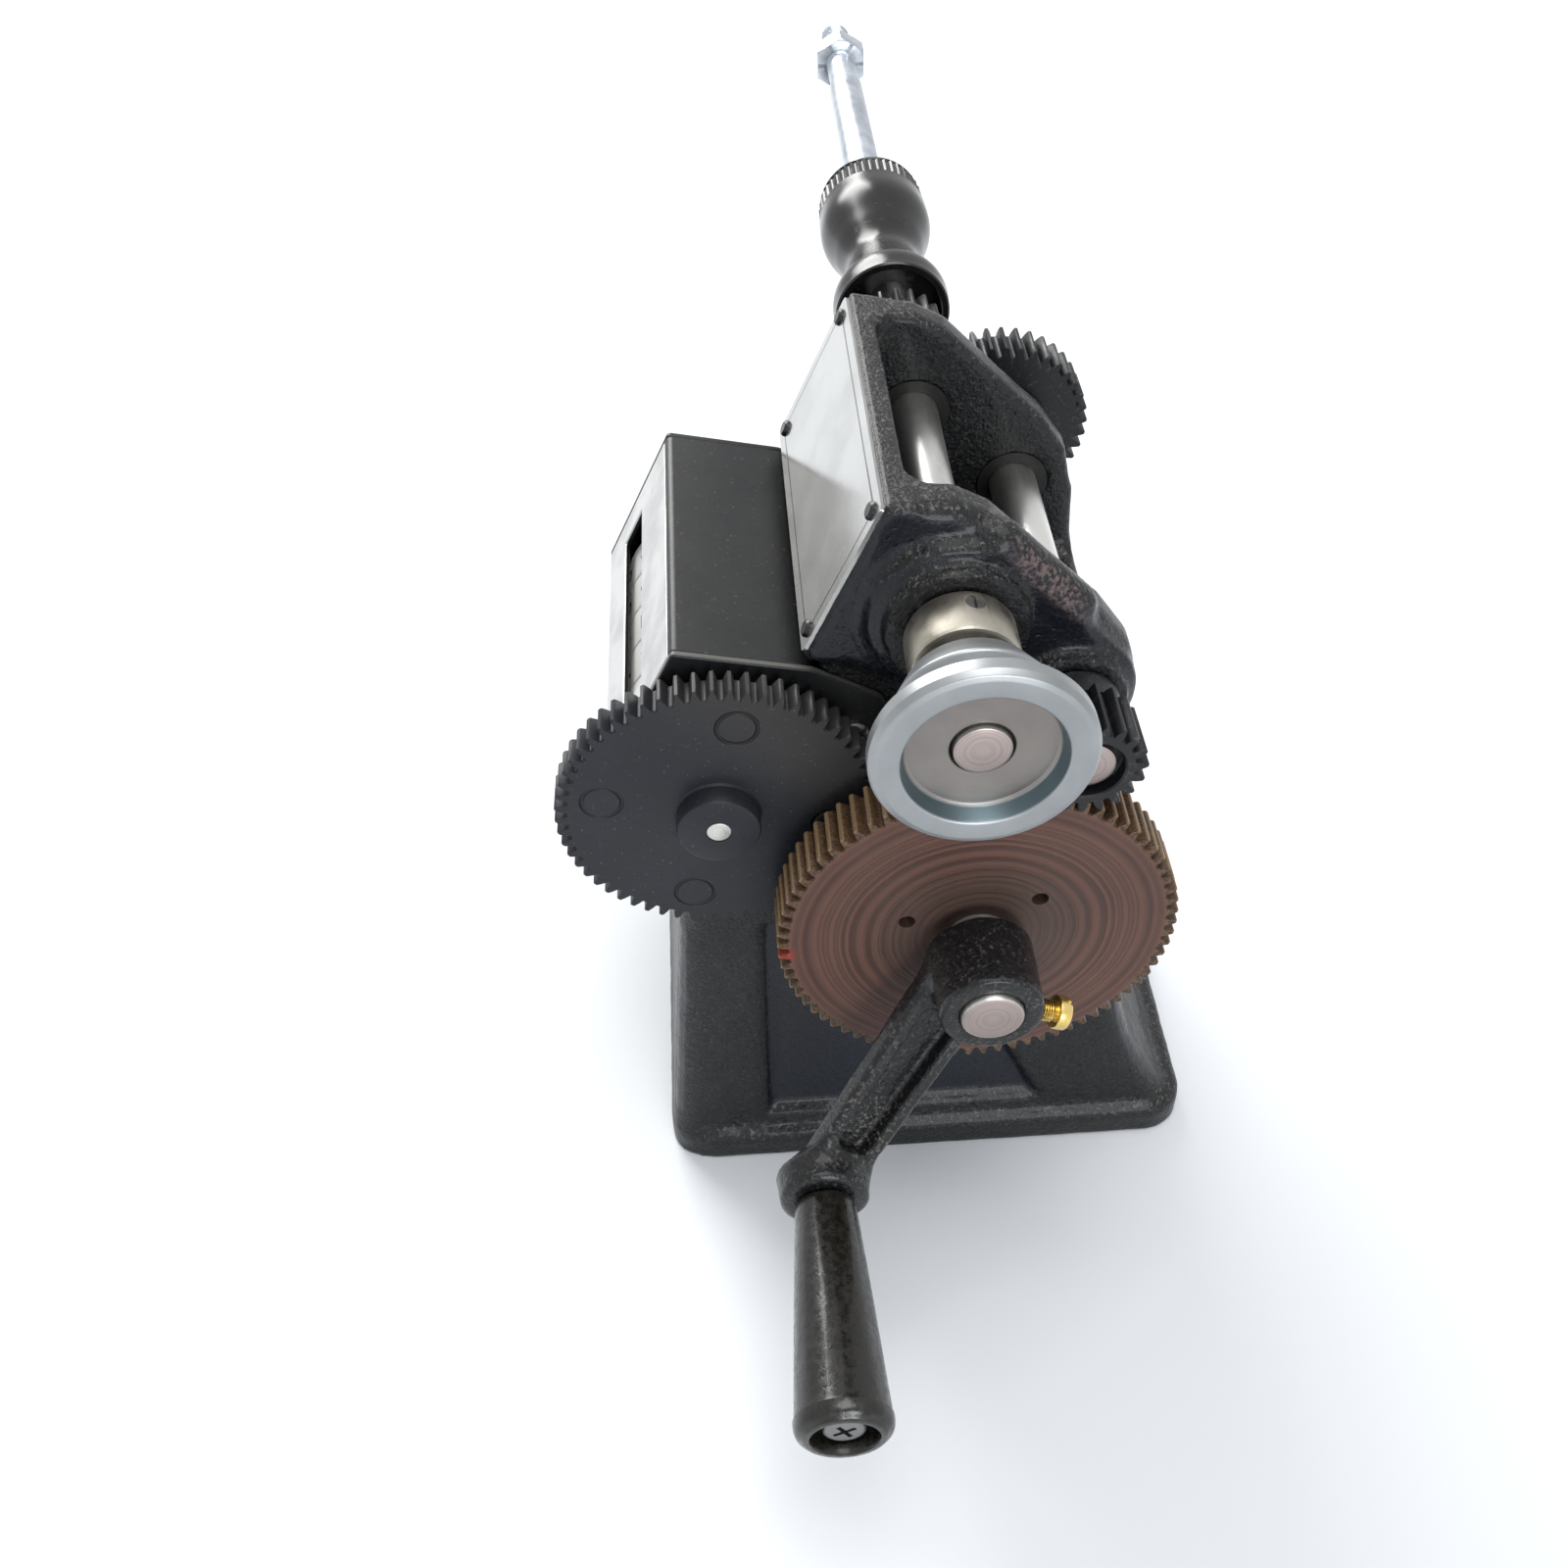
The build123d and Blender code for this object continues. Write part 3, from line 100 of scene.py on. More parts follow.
# ---- meshes -------------------------------------------------------------------------
def add_object(name, data):
    """Object that shows a mesh, light or camera in the scene."""
    thing = bpy.data.objects.new(name, data)
    bpy.context.scene.collection.objects.link(thing)
    return thing


def add_piece(name, points, faces, material, body, stands_for=(), sharp=35):
    """A mesh from points in millimetres and arrays of faces, riding on a CAD body."""
    points, faces = weld(np.asarray(points, float).reshape(-1, 3), faces)
    mesh = bpy.data.meshes.new(name)
    mesh.from_pydata(points * MM, [], faces)
    mesh.shade_smooth()
    mesh.set_sharp_from_angle(angle=radians(sharp))
    mesh.materials.append(material)
    piece = add_object(name, mesh)
    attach(piece, body)
    if stands_for:
        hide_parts(*stands_for)
    return piece


def weld(points, faces):
    """Points that coincide become one, and faces lose the corners that they share."""
    places = np.round(points, 4)
    _, first, index = np.unique(places, axis=0, return_index=True, return_inverse=True)
    index = index.ravel()
    welded = []
    for group in faces:
        group = index[np.asarray(group)]
        whole = np.all(group != np.roll(group, 1, axis=1), axis=1)
        welded += group[whole].tolist()
        for face in group[~whole]:
            corners = [int(c) for c, before in zip(face, np.roll(face, 1)) if c != before]
            if len(corners) > 2:
                welded.append(corners)
    return points[first], welded


def grid_faces(rows, columns, close_rows=False):
    """Quads of rows of points that each go round, the last row joined to the first or not."""
    row = np.arange(rows if close_rows else rows - 1)
    r, c = np.meshgrid(row, np.arange(columns), indexing="ij")
    r2, c2 = (r + 1) % rows, (c + 1) % columns
    quads = np.stack([r * columns + c, r * columns + c2, r2 * columns + c2, r2 * columns + c], -1)
    return quads.reshape(-1, 4)


def rounded(corners, steps=5):
    """A path of (a, b, radius) corners with each corner's sharp point turned into an arc."""
    corners = np.asarray(corners, float)
    here, radius = corners[:, :2], corners[:, 2]
    path = []
    for i, point in enumerate(here):
        before, after = here[i - 1] - point, here[(i + 1) % len(here)] - point
        if radius[i] == 0:
            path.append(point[None])
            continue
        before, after = before / np.hypot(*before), after / np.hypot(*after)
        half = np.arccos(np.clip(before @ after, -1, 1)) / 2
        reach = radius[i] / np.tan(half)
        centre = point + (before + after) / np.hypot(*(before + after)) * radius[i] / np.sin(half)
        start, end = point + before * reach - centre, point + after * reach - centre
        turn = np.arctan2(start[0] * end[1] - start[1] * end[0], start @ end)
        angle = np.linspace(0, turn, steps)[:, None]
        arc = start * np.cos(angle) + np.array([-start[1], start[0]]) * np.sin(angle)
        path.append(centre + arc)
    return np.concatenate(path)


# a knurl cuts only what lies within this depth of the profile's largest radius
KNURL_BAND = 2.5


def swept(x, radius, angle, axis):
    """Points at each x, radius and angle about an X-wise axis."""
    across, up = axis[0] + radius * np.cos(angle), axis[1] + radius * np.sin(angle)
    return np.stack(np.broadcast_arrays(x, across, up), -1)


def full_turn(count):
    """Angles of count points that go once round."""
    return np.linspace(0, 2 * pi, count, endpoint=False)


def lathe(name, axis, profile, material, body, stands_for=(), segments=96, knurl=None,
          thread=None, sharp=35):
    """Surface of revolution about an X-wise axis: a closed (x, radius) profile, swept round.

    knurl is (count, depth, x_low, x_high): the radius falls by depth between count ridges.
    thread is (pitch, depth, x_low, x_high): the radius falls by depth along a helix.
    """
    angle = full_turn(segments)
    x, r = profile[:, 0][:, None], profile[:, 1][:, None]
    if knurl:
        count, depth, low, high = knurl
        cut_here = (x > low) & (x < high) & (r > np.max(r) - KNURL_BAND)
        r = r - cut_here * depth * np.abs(np.sin(angle * count / 2)) ** 0.7
    if thread:
        pitch, depth, low, high = thread
        turn = x / pitch + angle / (2 * pi)
        valley = np.abs(turn - np.round(turn)) * 2
        r = r - ((x > low) & (x < high)) * depth * valley
    points = swept(x, r, angle, axis)
    faces = grid_faces(len(profile), segments, close_rows=True)
    if profile_area(profile) > 0:
        faces = faces[:, ::-1]
    return add_piece(name, points, [faces], material, body, stands_for, sharp)


def profile_area(profile):
    """Signed area of a closed profile."""
    a, b = profile, np.roll(profile, -1, axis=0)
    return np.sum(a[:, 0] * b[:, 1] - a[:, 1] * b[:, 0]) / 2


def rod(name, axis, start, end, radius, material, body, stands_for=(), bevel=0.5, bore=0.0):
    """Round bar or tube with bevelled ends."""
    bore_bevel = min(bevel, 0.4) if bore else 0
    inner = [(end, bore, bore_bevel), (start, bore, bore_bevel)]
    profile = rounded([(start, radius, bevel), (end, radius, bevel)] + inner, 3)
    return lathe(name, axis, profile, material, body, stands_for)


# ---- gears --------------------------------------------------------------------------
PRESSURE_ANGLE = radians(20)
BACKLASH = 0.12
ADDENDUM, DEDENDUM = 1.0, 1.25
TIP_ROUND, ROOT_ROUND = 0.08, 0.12


def tooth_outline(teeth, phase):
    """(angle, radius) round a module 1 spur gear: involute flanks, round tips and root corners."""
    pitch_r = teeth / 2
    base_r = pitch_r * np.cos(PRESSURE_ANGLE)
    tip_r, root_r = pitch_r + ADDENDUM, pitch_r - DEDENDUM
    start_r = max(base_r + 0.01, root_r + 0.15)
    r = np.linspace(start_r, tip_r - TIP_ROUND, 6)
    roll = np.arccos(base_r / r)
    involute_at_pitch = np.tan(PRESSURE_ANGLE) - PRESSURE_ANGLE
    half = (pi / 2 - BACKLASH) / 2 / pitch_r + involute_at_pitch - (np.tan(roll) - roll)
    tip = half[-1]
    root_corner = half[0] + ROOT_ROUND / pitch_r
    tip_corner = tip - TIP_ROUND / pitch_r
    flank_r = np.concatenate([[root_r, root_r + ROOT_ROUND / 2], r, [tip_r, tip_r]])
    flank_a = np.concatenate([[pi / teeth * 0.98, root_corner], half, [tip_corner, tip * 0.3]])
    one_r = np.concatenate([flank_r, flank_r[::-1]])
    one_a = np.concatenate([-flank_a, flank_a[::-1]])
    middle = np.radians(phase) + 2 * pi * np.arange(teeth)[:, None] / teeth
    return (middle + one_a).ravel(), np.tile(one_r, teeth)


def gear(name, axis, teeth, phase, back_profile, stations, front_profile, material, body,
         stands_for=(), bevel=0.22):
    """Spur gear: rings of points from the bore out to the teeth, across them and back in.

    back_profile and front_profile are (x, radius) rings, listed from the bore outwards. The
    last of each lies just inside the roots, so that only short faces meet the teeth.
    """
    angle, radius = tooth_outline(teeth, phase)
    back, front = stations
    toothed = [(back, radius - bevel), (back + bevel, radius), (front - bevel, radius),
               (front, radius - bevel)]
    rings = back_profile + toothed + front_profile[::-1]
    points = np.stack([swept(x, r, angle, axis) for x, r in rings])
    faces = grid_faces(len(rings), len(angle), close_rows=True)
    return add_piece(name, points, [faces], material, body, stands_for, sharp=30)


# ---- solid forms from distances -----------------------------------------------------
def carve(name, distance, low, high, cell, material, body, stands_for=(), sharp=50):
    """Mesh of the surface where distance(x, y, z) is zero, by surface nets.

    Each grid cell that the surface crosses gets the mean of its edge crossings, which two
    Newton steps along the distance's slope then put on the surface itself.
    """
    x, y, z = [np.arange(a, b + cell, cell) for a, b in zip(low, high)]
    field = distance(x[:, None, None], y[None, :, None], z[None, None, :])
    shape = np.array(field.shape) - 1
    total, count = np.zeros((*shape, 3)), np.zeros(shape)
    corner = lambda i, j, k: field[i:i + shape[0], j:j + shape[1], k:k + shape[2]]
    for axis in range(3):
        for side_a in (0, 1):
            for side_b in (0, 1):
                start = np.insert([side_a, side_b], axis, 0)
                end = np.insert([side_a, side_b], axis, 1)
                d0, d1 = corner(*start), corner(*end)
                crosses = (d0 < 0) != (d1 < 0)
                t = np.where(crosses, d0 / np.where(crosses, d0 - d1, 1), 0)
                for part in range(3):
                    offset = t if part == axis else start[part]
                    total[..., part] += crosses * offset
                count += crosses
    active = count > 0
    number = np.full(shape, -1)
    number[active] = np.arange(active.sum())
    cells = np.argwhere(active)
    points = np.array(low) + (cells + total[active] / count[active][:, None]) * cell
    quads = []
    for axis in range(3):
        b, c = (axis + 1) % 3, (axis + 2) % 3
        inside = field < 0
        first = np.take(inside, range(shape[axis]), axis)
        second = np.take(inside, range(1, shape[axis] + 1), axis)
        edges = np.argwhere(first != second)
        edges = edges[(edges[:, b] > 0) & (edges[:, c] > 0)]
        edges = edges[(edges[:, b] < shape[b]) & (edges[:, c] < shape[c])]
        solid_first = inside[tuple(edges.T)]
        step_b, step_c = np.eye(3, dtype=int)[b], np.eye(3, dtype=int)[c]
        ring = [edges - step_b - step_c, edges - step_c, edges, edges - step_b]
        quad = np.stack([number[tuple(corner_cell.T)] for corner_cell in ring], -1)
        quads += [quad[solid_first], quad[~solid_first][:, ::-1]]
    for _ in range(2):
        points = points - slope_step(distance, points)
    return add_piece(name, points, quads, material, body, stands_for, sharp)


def slope_step(distance, points, reach=0.02):
    """Step that takes each point to the surface along the distance's slope."""
    here = distance(*points.T)
    rises = [distance(*(points + step).T) - distance(*(points - step).T)
             for step in reach * np.eye(3)]
    slope = np.stack(rises, -1) / (2 * reach)
    size = np.maximum(np.sum(slope**2, -1), 0.2)
    return np.clip(here / size, -0.5, 0.5)[:, None] * slope


def join(a, b, blend):
    """Union of two distances with a fillet of about the blend's size."""
    h = np.maximum(blend - np.abs(a - b), 0) / blend
    return np.minimum(a, b) - h * h * blend / 4


def cut(a, b, blend):
    """Distance a with b taken out, its edge rounded."""
    return -join(-a, b, blend)


def both(a, b, blend):
    """Overlap of two distances with a rounded edge."""
    return -join(-a, -b, blend)


def between(value, low, high):
    """Signed distance outside a run from low to high."""
    return np.abs(value - (low + high) / 2) - (high - low) / 2


def prism(across, along, edge):
    """Distance to an outline carried along a run, from the distance to each, edges rounded."""
    a, b = across + edge, along + edge
    return np.minimum(np.maximum(a, b), 0) + np.hypot(np.maximum(a, 0), np.maximum(b, 0)) - edge


def off_axis(y, z, axis):
    """Distance from an X-wise axis."""
    return np.hypot(y - axis[0], z - axis[1])


def disc_distance(x, y, z, axis, radius, start, end, edge):
    """Distance to a round bar along X with rounded ends."""
    return prism(off_axis(y, z, axis) - radius, between(x, start, end), edge)


def round_rectangle(x, y, half, front, rear, radius):
    """Distance to a rectangle with round corners, |x| under half and y from front to rear."""
    return prism(np.abs(x) - half, between(y, front, rear), radius)


def hull_distance(y, z, start, start_r, end, end_r):
    """Distance to the outline that wraps two circles: past them, its sides lean with their radii."""
    length = np.hypot(end[0] - start[0], end[1] - start[1])
    ey, ez = (end[0] - start[0]) / length, (end[1] - start[1]) / length
    along = (y - start[0]) * ey + (z - start[1]) * ez
    off = np.abs((z - start[1]) * ey - (y - start[0]) * ez)
    lean = (start_r - end_r) / length
    rise = np.sqrt(1 - lean * lean)
    k = along * rise - off * lean
    side = off * rise + along * lean - start_r
    near_start = np.hypot(along, off) - start_r
    near_end = np.hypot(along - length, off) - end_r
    return np.where(k < 0, near_start, np.where(k > rise * length, near_end, side))


def polygon_distance(y, z, corners):
    """Signed distance to a (y, z) polygon, negative inside."""
    y, z = np.broadcast_arrays(y, z)
    nearest = np.full(y.shape, 1e9)
    inside = np.zeros(y.shape, bool)
    for (y0, z0), (y1, z1) in zip(corners, corners[1:] + corners[:1]):
        ey, ez = y1 - y0, z1 - z0
        t = np.clip(((y - y0) * ey + (z - z0) * ez) / (ey * ey + ez * ez), 0, 1)
        nearest = np.minimum(nearest, (y - y0 - t * ey) ** 2 + (z - z0 - t * ez) ** 2)
        if z1 != z0:
            inside = inside ^ (((z0 > z) != (z1 > z)) & (y < y0 + (z - z0) * ey / ez))
    return np.where(inside, -1, 1) * np.sqrt(nearest)


def capsule_distance(x, y, z, start, end, radius):
    """Distance to a round-ended rod between two points."""
    start, end = np.array(start, float), np.array(end, float)
    e = end - start
    px, py, pz = x - start[0], y - start[1], z - start[2]
    t = np.clip((px * e[0] + py * e[1] + pz * e[2]) / (e @ e), 0, 1)
    return np.sqrt((px - t * e[0]) ** 2 + (py - t * e[1]) ** 2 + (pz - t * e[2]) ** 2) - radius


# ---- shader maths -------------------------------------------------------------------
class Value:
    """A number inside a material's node tree, with arithmetic that adds Math nodes."""

    def __init__(self, finish, socket):
        self.finish = finish
        self.socket = socket

    def math(self, operation, *others):
        """One Math node on this value and the others; each operator below adds one."""
        inputs = dict(enumerate((self, *others)))
        return self.finish.node("ShaderNodeMath", {"operation": operation}, inputs)

    def __add__(self, other):
        return self.math("ADD", other)

    def __mul__(self, other):
        return self.math("MULTIPLY", other)

    def __sub__(self, other):
        return self.math("SUBTRACT", other)

    def __rsub__(self, other):
        return self * -1 + other

    def __truediv__(self, other):
        return self.math("DIVIDE", other)

    __radd__ = __add__
    __rmul__ = __mul__

    def above(self, low, high):
        """0 below low, 1 above high, smooth between."""
        inputs = {"Value": self, "From Min": low, "From Max": high}
        return self.finish.node("ShaderNodeMapRange", {"interpolation_type": "SMOOTHSTEP"}, inputs)


class Finish:
    """One material's node tree round a Principled shader; lengths in it are millimetres."""

    def __init__(self, name, **constants):
        self.material = bpy.data.materials.new(name)
        self.material.use_nodes = True
        self.tree = self.material.node_tree
        self.shader = self.tree.nodes["Principled BSDF"]
        for socket, value in constants.items():
            self.set(socket.replace("_", " "), value)

    def node(self, kind, settings, inputs, output=0):
        """Adds one node: settings first, then the values or links of its sockets."""
        node = self.tree.nodes.new(kind)
        for key, value in settings.items():
            setattr(node, key, value)
        for key, value in inputs.items():
            self.plug(node.inputs[key], value)
        return Value(self, node.outputs[output])

    def plug(self, socket, value):
        """Links a value, or writes a number, colour or vector into a socket."""
        if isinstance(value, Value):
            self.tree.links.new(value.socket, socket)
        elif hasattr(socket.default_value, "__len__") and not hasattr(value, "__len__"):
            socket.default_value = [value] * len(socket.default_value)
        elif socket.type == "RGBA" and len(value) == 3:
            socket.default_value = (*value, 1.0)
        else:
            socket.default_value = value

    def set(self, socket, value):
        """Links or writes a value into the shader's own socket."""
        self.plug(self.shader.inputs[socket], value)

    def place(self, scale=(1, 1, 1), centre=(0, 0, 0)):
        """Object coordinates in millimetres, less a centre, stretched by a scale."""
        coordinates = self.node("ShaderNodeTexCoord", {}, {}, "Object")
        grown = [s / MM for s in scale]
        moved = [-c * s for c, s in zip(centre, scale)]
        inputs = {"Vector": coordinates, "Scale": grown, "Location": moved}
        return self.node("ShaderNodeMapping", {}, inputs)

    def noise(self, size, detail=2.0, roughness=0.5, scale=(1, 1, 1), seed=0.0):
        """Noise from 0 to 1 whose features are about size millimetres wide."""
        vector = self.place(scale, (seed, 2 * seed, 3 * seed))
        inputs = {"Vector": vector, "Scale": 1.0 / size, "Detail": detail, "Roughness": roughness}
        return self.node("ShaderNodeTexNoise", {}, inputs)

    def line_noise(self, value, size):
        """Noise from 0 to 1 that changes along one value alone, about size millimetres wide."""
        inputs = {"W": value, "Scale": 1.0 / size, "Detail": 2.0}
        return self.node("ShaderNodeTexNoise", {"noise_dimensions": "1D"}, inputs)

    def split(self, vector):
        """(x, y, z) of a vector."""
        return [self.node("ShaderNodeSeparateXYZ", {}, {0: vector}, i) for i in range(3)]

    def round_axis(self, axis):
        """(x, radius) about an X-wise axis."""
        x, y, z = self.split(self.place(centre=(0, *axis)))
        return x, (y * y + z * z).math("SQRT")

    def mix(self, low, high, factor):
        """Colour between two colours."""
        inputs = {"Factor": factor, 6: low, 7: high}
        return self.node("ShaderNodeMix", {"data_type": "RGBA"}, inputs, 2)

    def dress(self, colour, roughness, *heights):
        """The material with a colour, a roughness and the relief of heights in millimetres."""
        inputs = {"Height": sum(heights), "Distance": MM, "Strength": 1.0}
        self.set("Base Color", colour)
        self.set("Roughness", roughness)
        self.set("Normal", self.node("ShaderNodeBump", {}, inputs))
        return self.material


# ---- finishes -----------------------------------------------------------------------
def sand_cast_enamel(name, grain, wear_and_sheen, seed=0.0, fixed=False):
    """Thick black enamel over a sand casting: pitted and glossy, its grains grey in spots,
    partly rubbed wear and partly painted glints.

    On the fixed stand, faces that look up carry the most grey grains, partly wear and partly
    painted glints where the light falls; the sunk panel and the near cheek are smoother and
    tinted bluish as a painted sky reflection; the cheek's ridge is speckled pinkish grey.
    """
    finish = Finish(name, Coat_Roughness=0.08, Specular_IOR_Level=0.24)
    lumps = finish.noise(3.4, 3, 0.6, seed=seed)
    sand = finish.noise(0.85, 3, 0.65, seed=seed + 7)
    pits = finish.noise(1.5, 1, 0.5, seed=seed + 19).above(0.62, 0.75)
    patches = finish.noise(16, 3, 0.6, seed=seed + 31).above(0.45, 0.68)
    # grey grains: partly rubbed wear, partly painted glints of the sand grains
    rubbed_and_glinting = sand.above(0.53, 0.68) * wear_and_sheen
    deep = finish.mix((0.004, 0.0045, 0.0055), (0.011, 0.0115, 0.012), lumps)
    if not fixed:
        rubbed_and_glinting = rubbed_and_glinting * (0.25 + patches * 0.75)
        colour = finish.mix(deep, (0.16, 0.15, 0.135), rubbed_and_glinting)
        finish.set("Coat Weight", 0.22)
        return finish.dress(colour, 0.27 + rubbed_and_glinting * 0.28 + lumps * 0.1,
                            lumps * 0.5 * grain, sand * 0.34 * grain, pits * -0.2 * grain)
    normal = finish.node("ShaderNodeNewGeometry", {}, {}, "Normal")
    looks_up = finish.split(normal)[2].above(0.15, 0.75)
    x, y, z = finish.split(finish.place())
    out = x.math("ABSOLUTE")
    panel_face = PANEL_OUT + PANEL_LOW / PANEL_SLOPE
    off_floor = (out + z / PANEL_SLOPE - panel_face).math("ABSOLUTE")
    panel = (1 - off_floor.above(0.9, 1.7)) * z.above(12.0, 14.0) * (1 - z.above(70.0, 75.0))
    cheek = out.above(35.8, 36.4) * (1 - out.above(39.5, 42.0)) * z.above(121.0, 124.0)
    # smooth: the sunk panel and the near cheek, smoother, and tinted bluish below as a painted sky
    # reflection
    smooth = panel.math("MAXIMUM", cheek * 0.75) * (1 - looks_up)
    along = y + z
    ridge = (1 - (along - 182.0).math("ABSOLUTE").above(1.8, 4.5)) * x.above(37.8, 39.2)
    ridge = ridge * y.above(8.0, 12.0) * (1 - y.above(19.0, 25.0))
    # faces that look up get the most grey grains: partly wear, partly painted glints where the light
    # falls
    rubbed_and_glinting = rubbed_and_glinting * (0.12 + patches * 0.2 + looks_up * 0.75)
    colour = finish.mix(deep, (0.15, 0.14, 0.125), rubbed_and_glinting * (1 - smooth * 0.8))
    # bluish tint: painted sky reflection on the smooth panel and cheek
    colour = finish.mix(colour, (0.004, 0.0065, 0.014), smooth * 0.75)
    colour = finish.mix(colour, (0.22, 0.145, 0.14), ridge * sand.above(0.42, 0.60) * 0.6)
    finish.set("Coat Weight", 0.12 + smooth * 0.16)
    rough = (1 - smooth * 0.6) * grain
    return finish.dress(colour, 0.3 + rubbed_and_glinting * 0.3 + lumps * 0.1 - smooth * 0.08,
                        lumps * 0.55 * rough, sand * 0.4 * rough, pits * rough * -0.22)


def darker(colour, share):
    """A colour at a share of its brightness."""
    return tuple(c * share for c in colour)


def machined_metal(name, colour, roughness, axis=None, lines=0.006, metallic=1.0, cloud=0.25):
    """Metal with a cloudy plated or oiled film, and fine rings if it turns about an axis."""
    finish = Finish(name, Metallic=metallic)
    film = finish.noise(5.0, 4, 0.6)
    fine = finish.noise(0.9, 2, 0.6, seed=3)
    clouded = film.above(0.3, 0.3 + cloud) * 0.75 + 0.25
    relief = [fine * lines]
    if axis is not None:
        x, radius = finish.round_axis(axis)
        relief.append(finish.line_noise(x + radius, 0.3) * lines * 3)
    return finish.dress(finish.mix(darker(colour, 0.62), colour, clouded),
                        roughness + (film - 0.5) * 0.25 + fine * 0.06, *relief)


def ground_steel(name, axis, end_x, end_colour):
    """Bright shaft ground all round, faintly stained; its faced end is tinted, with rings."""
    finish = Finish(name, Metallic=1.0)
    x, radius = finish.round_axis(axis)
    stains = finish.noise(9.0, 4, 0.6, scale=(0.35, 1, 1))
    rings = finish.noise(0.5, 2, 0.6, scale=(1.0, 0.05, 0.05))
    end = x.above(end_x - 0.25, end_x - 0.1)
    tool = finish.line_noise(radius, 0.55)
    steel = finish.mix((0.50, 0.49, 0.465), (0.74, 0.73, 0.70), stains.above(0.3, 0.6))
    tooled = tool.above(0.3, 0.7) * 0.6 + stains * 0.4
    faced = finish.mix(darker(end_colour, 0.72), end_colour, tooled)
    return finish.dress(finish.mix(steel, faced, end), 0.25 + stains * 0.14 + end * 0.08,
                        rings * 0.012 * (1 - end), tool * 0.06 * end)


def plated_pulley():
    """Zinc-plated pulley: satin grey rim; the recess floor darker and warmer as painted shade,
    its wall bluish as a painted sky reflection, and a dark ring on the bore's chamfer as painted
    shade.
    """
    finish = Finish("plated_pulley", Metallic=1.0)
    x, radius = finish.round_axis(SPINDLE)
    film = finish.noise(8.0, 3, 0.55)
    tool = finish.line_noise(radius + x, 0.45)
    rim = finish.mix((0.27, 0.285, 0.29), (0.40, 0.415, 0.425), film)
    # recess floor: darker and warmer, painted shade in the recess
    shaded_floor = finish.mix((0.20, 0.182, 0.172), (0.29, 0.268, 0.25), film)
    inside = (1 - radius.above(RECESS_R - 0.2, RECESS_R + 0.05)) * x.above(71.0, 71.5)
    past_floor = radius.above(RECESS_R - 0.05, RECESS_R + 0.1)
    # bluish wall: painted sky reflection
    sky_tinted_wall = past_floor * (1 - radius.above(MOUTH_R - 0.15, MOUTH_R)) * x.above(72.4, 73.2)
    colour = finish.mix(finish.mix(rim, shaded_floor, inside), (0.13, 0.215, 0.25), sky_tinted_wall * 0.7)
    # dark ring on the bore's chamfer: painted shade
    ring = (1 - radius.above(BORE_RING_R - 0.05, BORE_RING_R + 0.25)) * x.above(71.0, 71.4)
    colour = finish.mix(colour, (0.02, 0.016, 0.014), ring * 0.9)
    return finish.dress(colour, 0.33 + film * 0.14, tool * 0.02)


def turned_phenolic():
    """Brown laminated phenolic: uneven lathe rings, a darker middle that is painted shade
    around the hub, golden fibres on the teeth and a painted highlight along their tips.

    One tooth carries a small red spot.
    """
    finish = Finish("phenolic", Specular_IOR_Level=0.32)
    _, radius = finish.round_axis(CRANK)
    uneven = finish.noise(11.0, 3, 0.6)
    warped = radius + uneven * 0.6
    rings = finish.line_noise(warped, 1.5).above(0.36, 0.62)
    fine_rings = finish.line_noise(warped, 0.5)
    fibre = finish.noise(0.8, 3, 0.7, scale=(3.0, 1, 1))
    shade = rings * 0.5 + uneven * 0.3 + fine_rings * 0.2
    face = finish.mix((0.040, 0.019, 0.015), (0.150, 0.070, 0.050), shade)
    # darker middle: painted shade around the hub
    face = finish.mix(face, (0.045, 0.040, 0.034), (1 - radius.above(11.0, 27.0)) * 0.5)
    toothed = radius.above(36.4, 37.0)
    teeth = finish.mix((0.028, 0.016, 0.009), (0.16, 0.095, 0.048), fibre.above(0.35, 0.7))
    # brighter band at the tooth tips: painted highlight
    teeth = finish.mix(teeth, (0.38, 0.26, 0.14), radius.above(38.5, 38.9) * 0.5)
    face = finish.mix(face, teeth, toothed * 0.85)
    _, off_spot = finish.round_axis(around(CRANK, 0, 37.4, 184)[1:])
    face = finish.mix(face, (0.30, 0.022, 0.016), (1 - off_spot.above(0.9, 2.8)) * 0.6)
    turned = radius.above(9.0, 20.0) * (1 - toothed)
    return finish.dress(face, 0.36 + rings * 0.12 + fibre * 0.08,
                        rings * 0.09 * turned, fine_rings * 0.03 * turned, fibre * 0.03)


def oiled_black_steel():
    """Blackened gear steel, oiled, with small bright patches that are partly rubbed wear
    and partly painted highlights.
    """
    finish = Finish("oiled_black_steel", Metallic=0.35, Specular_IOR_Level=0.55)
    oil = finish.noise(3.0, 3, 0.6)
    grain = finish.noise(0.5, 2, 0.6)
    rubbed_and_glinting = finish.noise(1.6, 3, 0.7, seed=5).above(0.55, 0.75)
    # bright patches: partly rubbed wear, partly painted highlights
    colour = finish.mix((0.009, 0.0095, 0.011), (0.085, 0.086, 0.086), rubbed_and_glinting * 0.6)
    return finish.dress(colour, 0.3 + oil * 0.25, grain * 0.02, oil * 0.03)


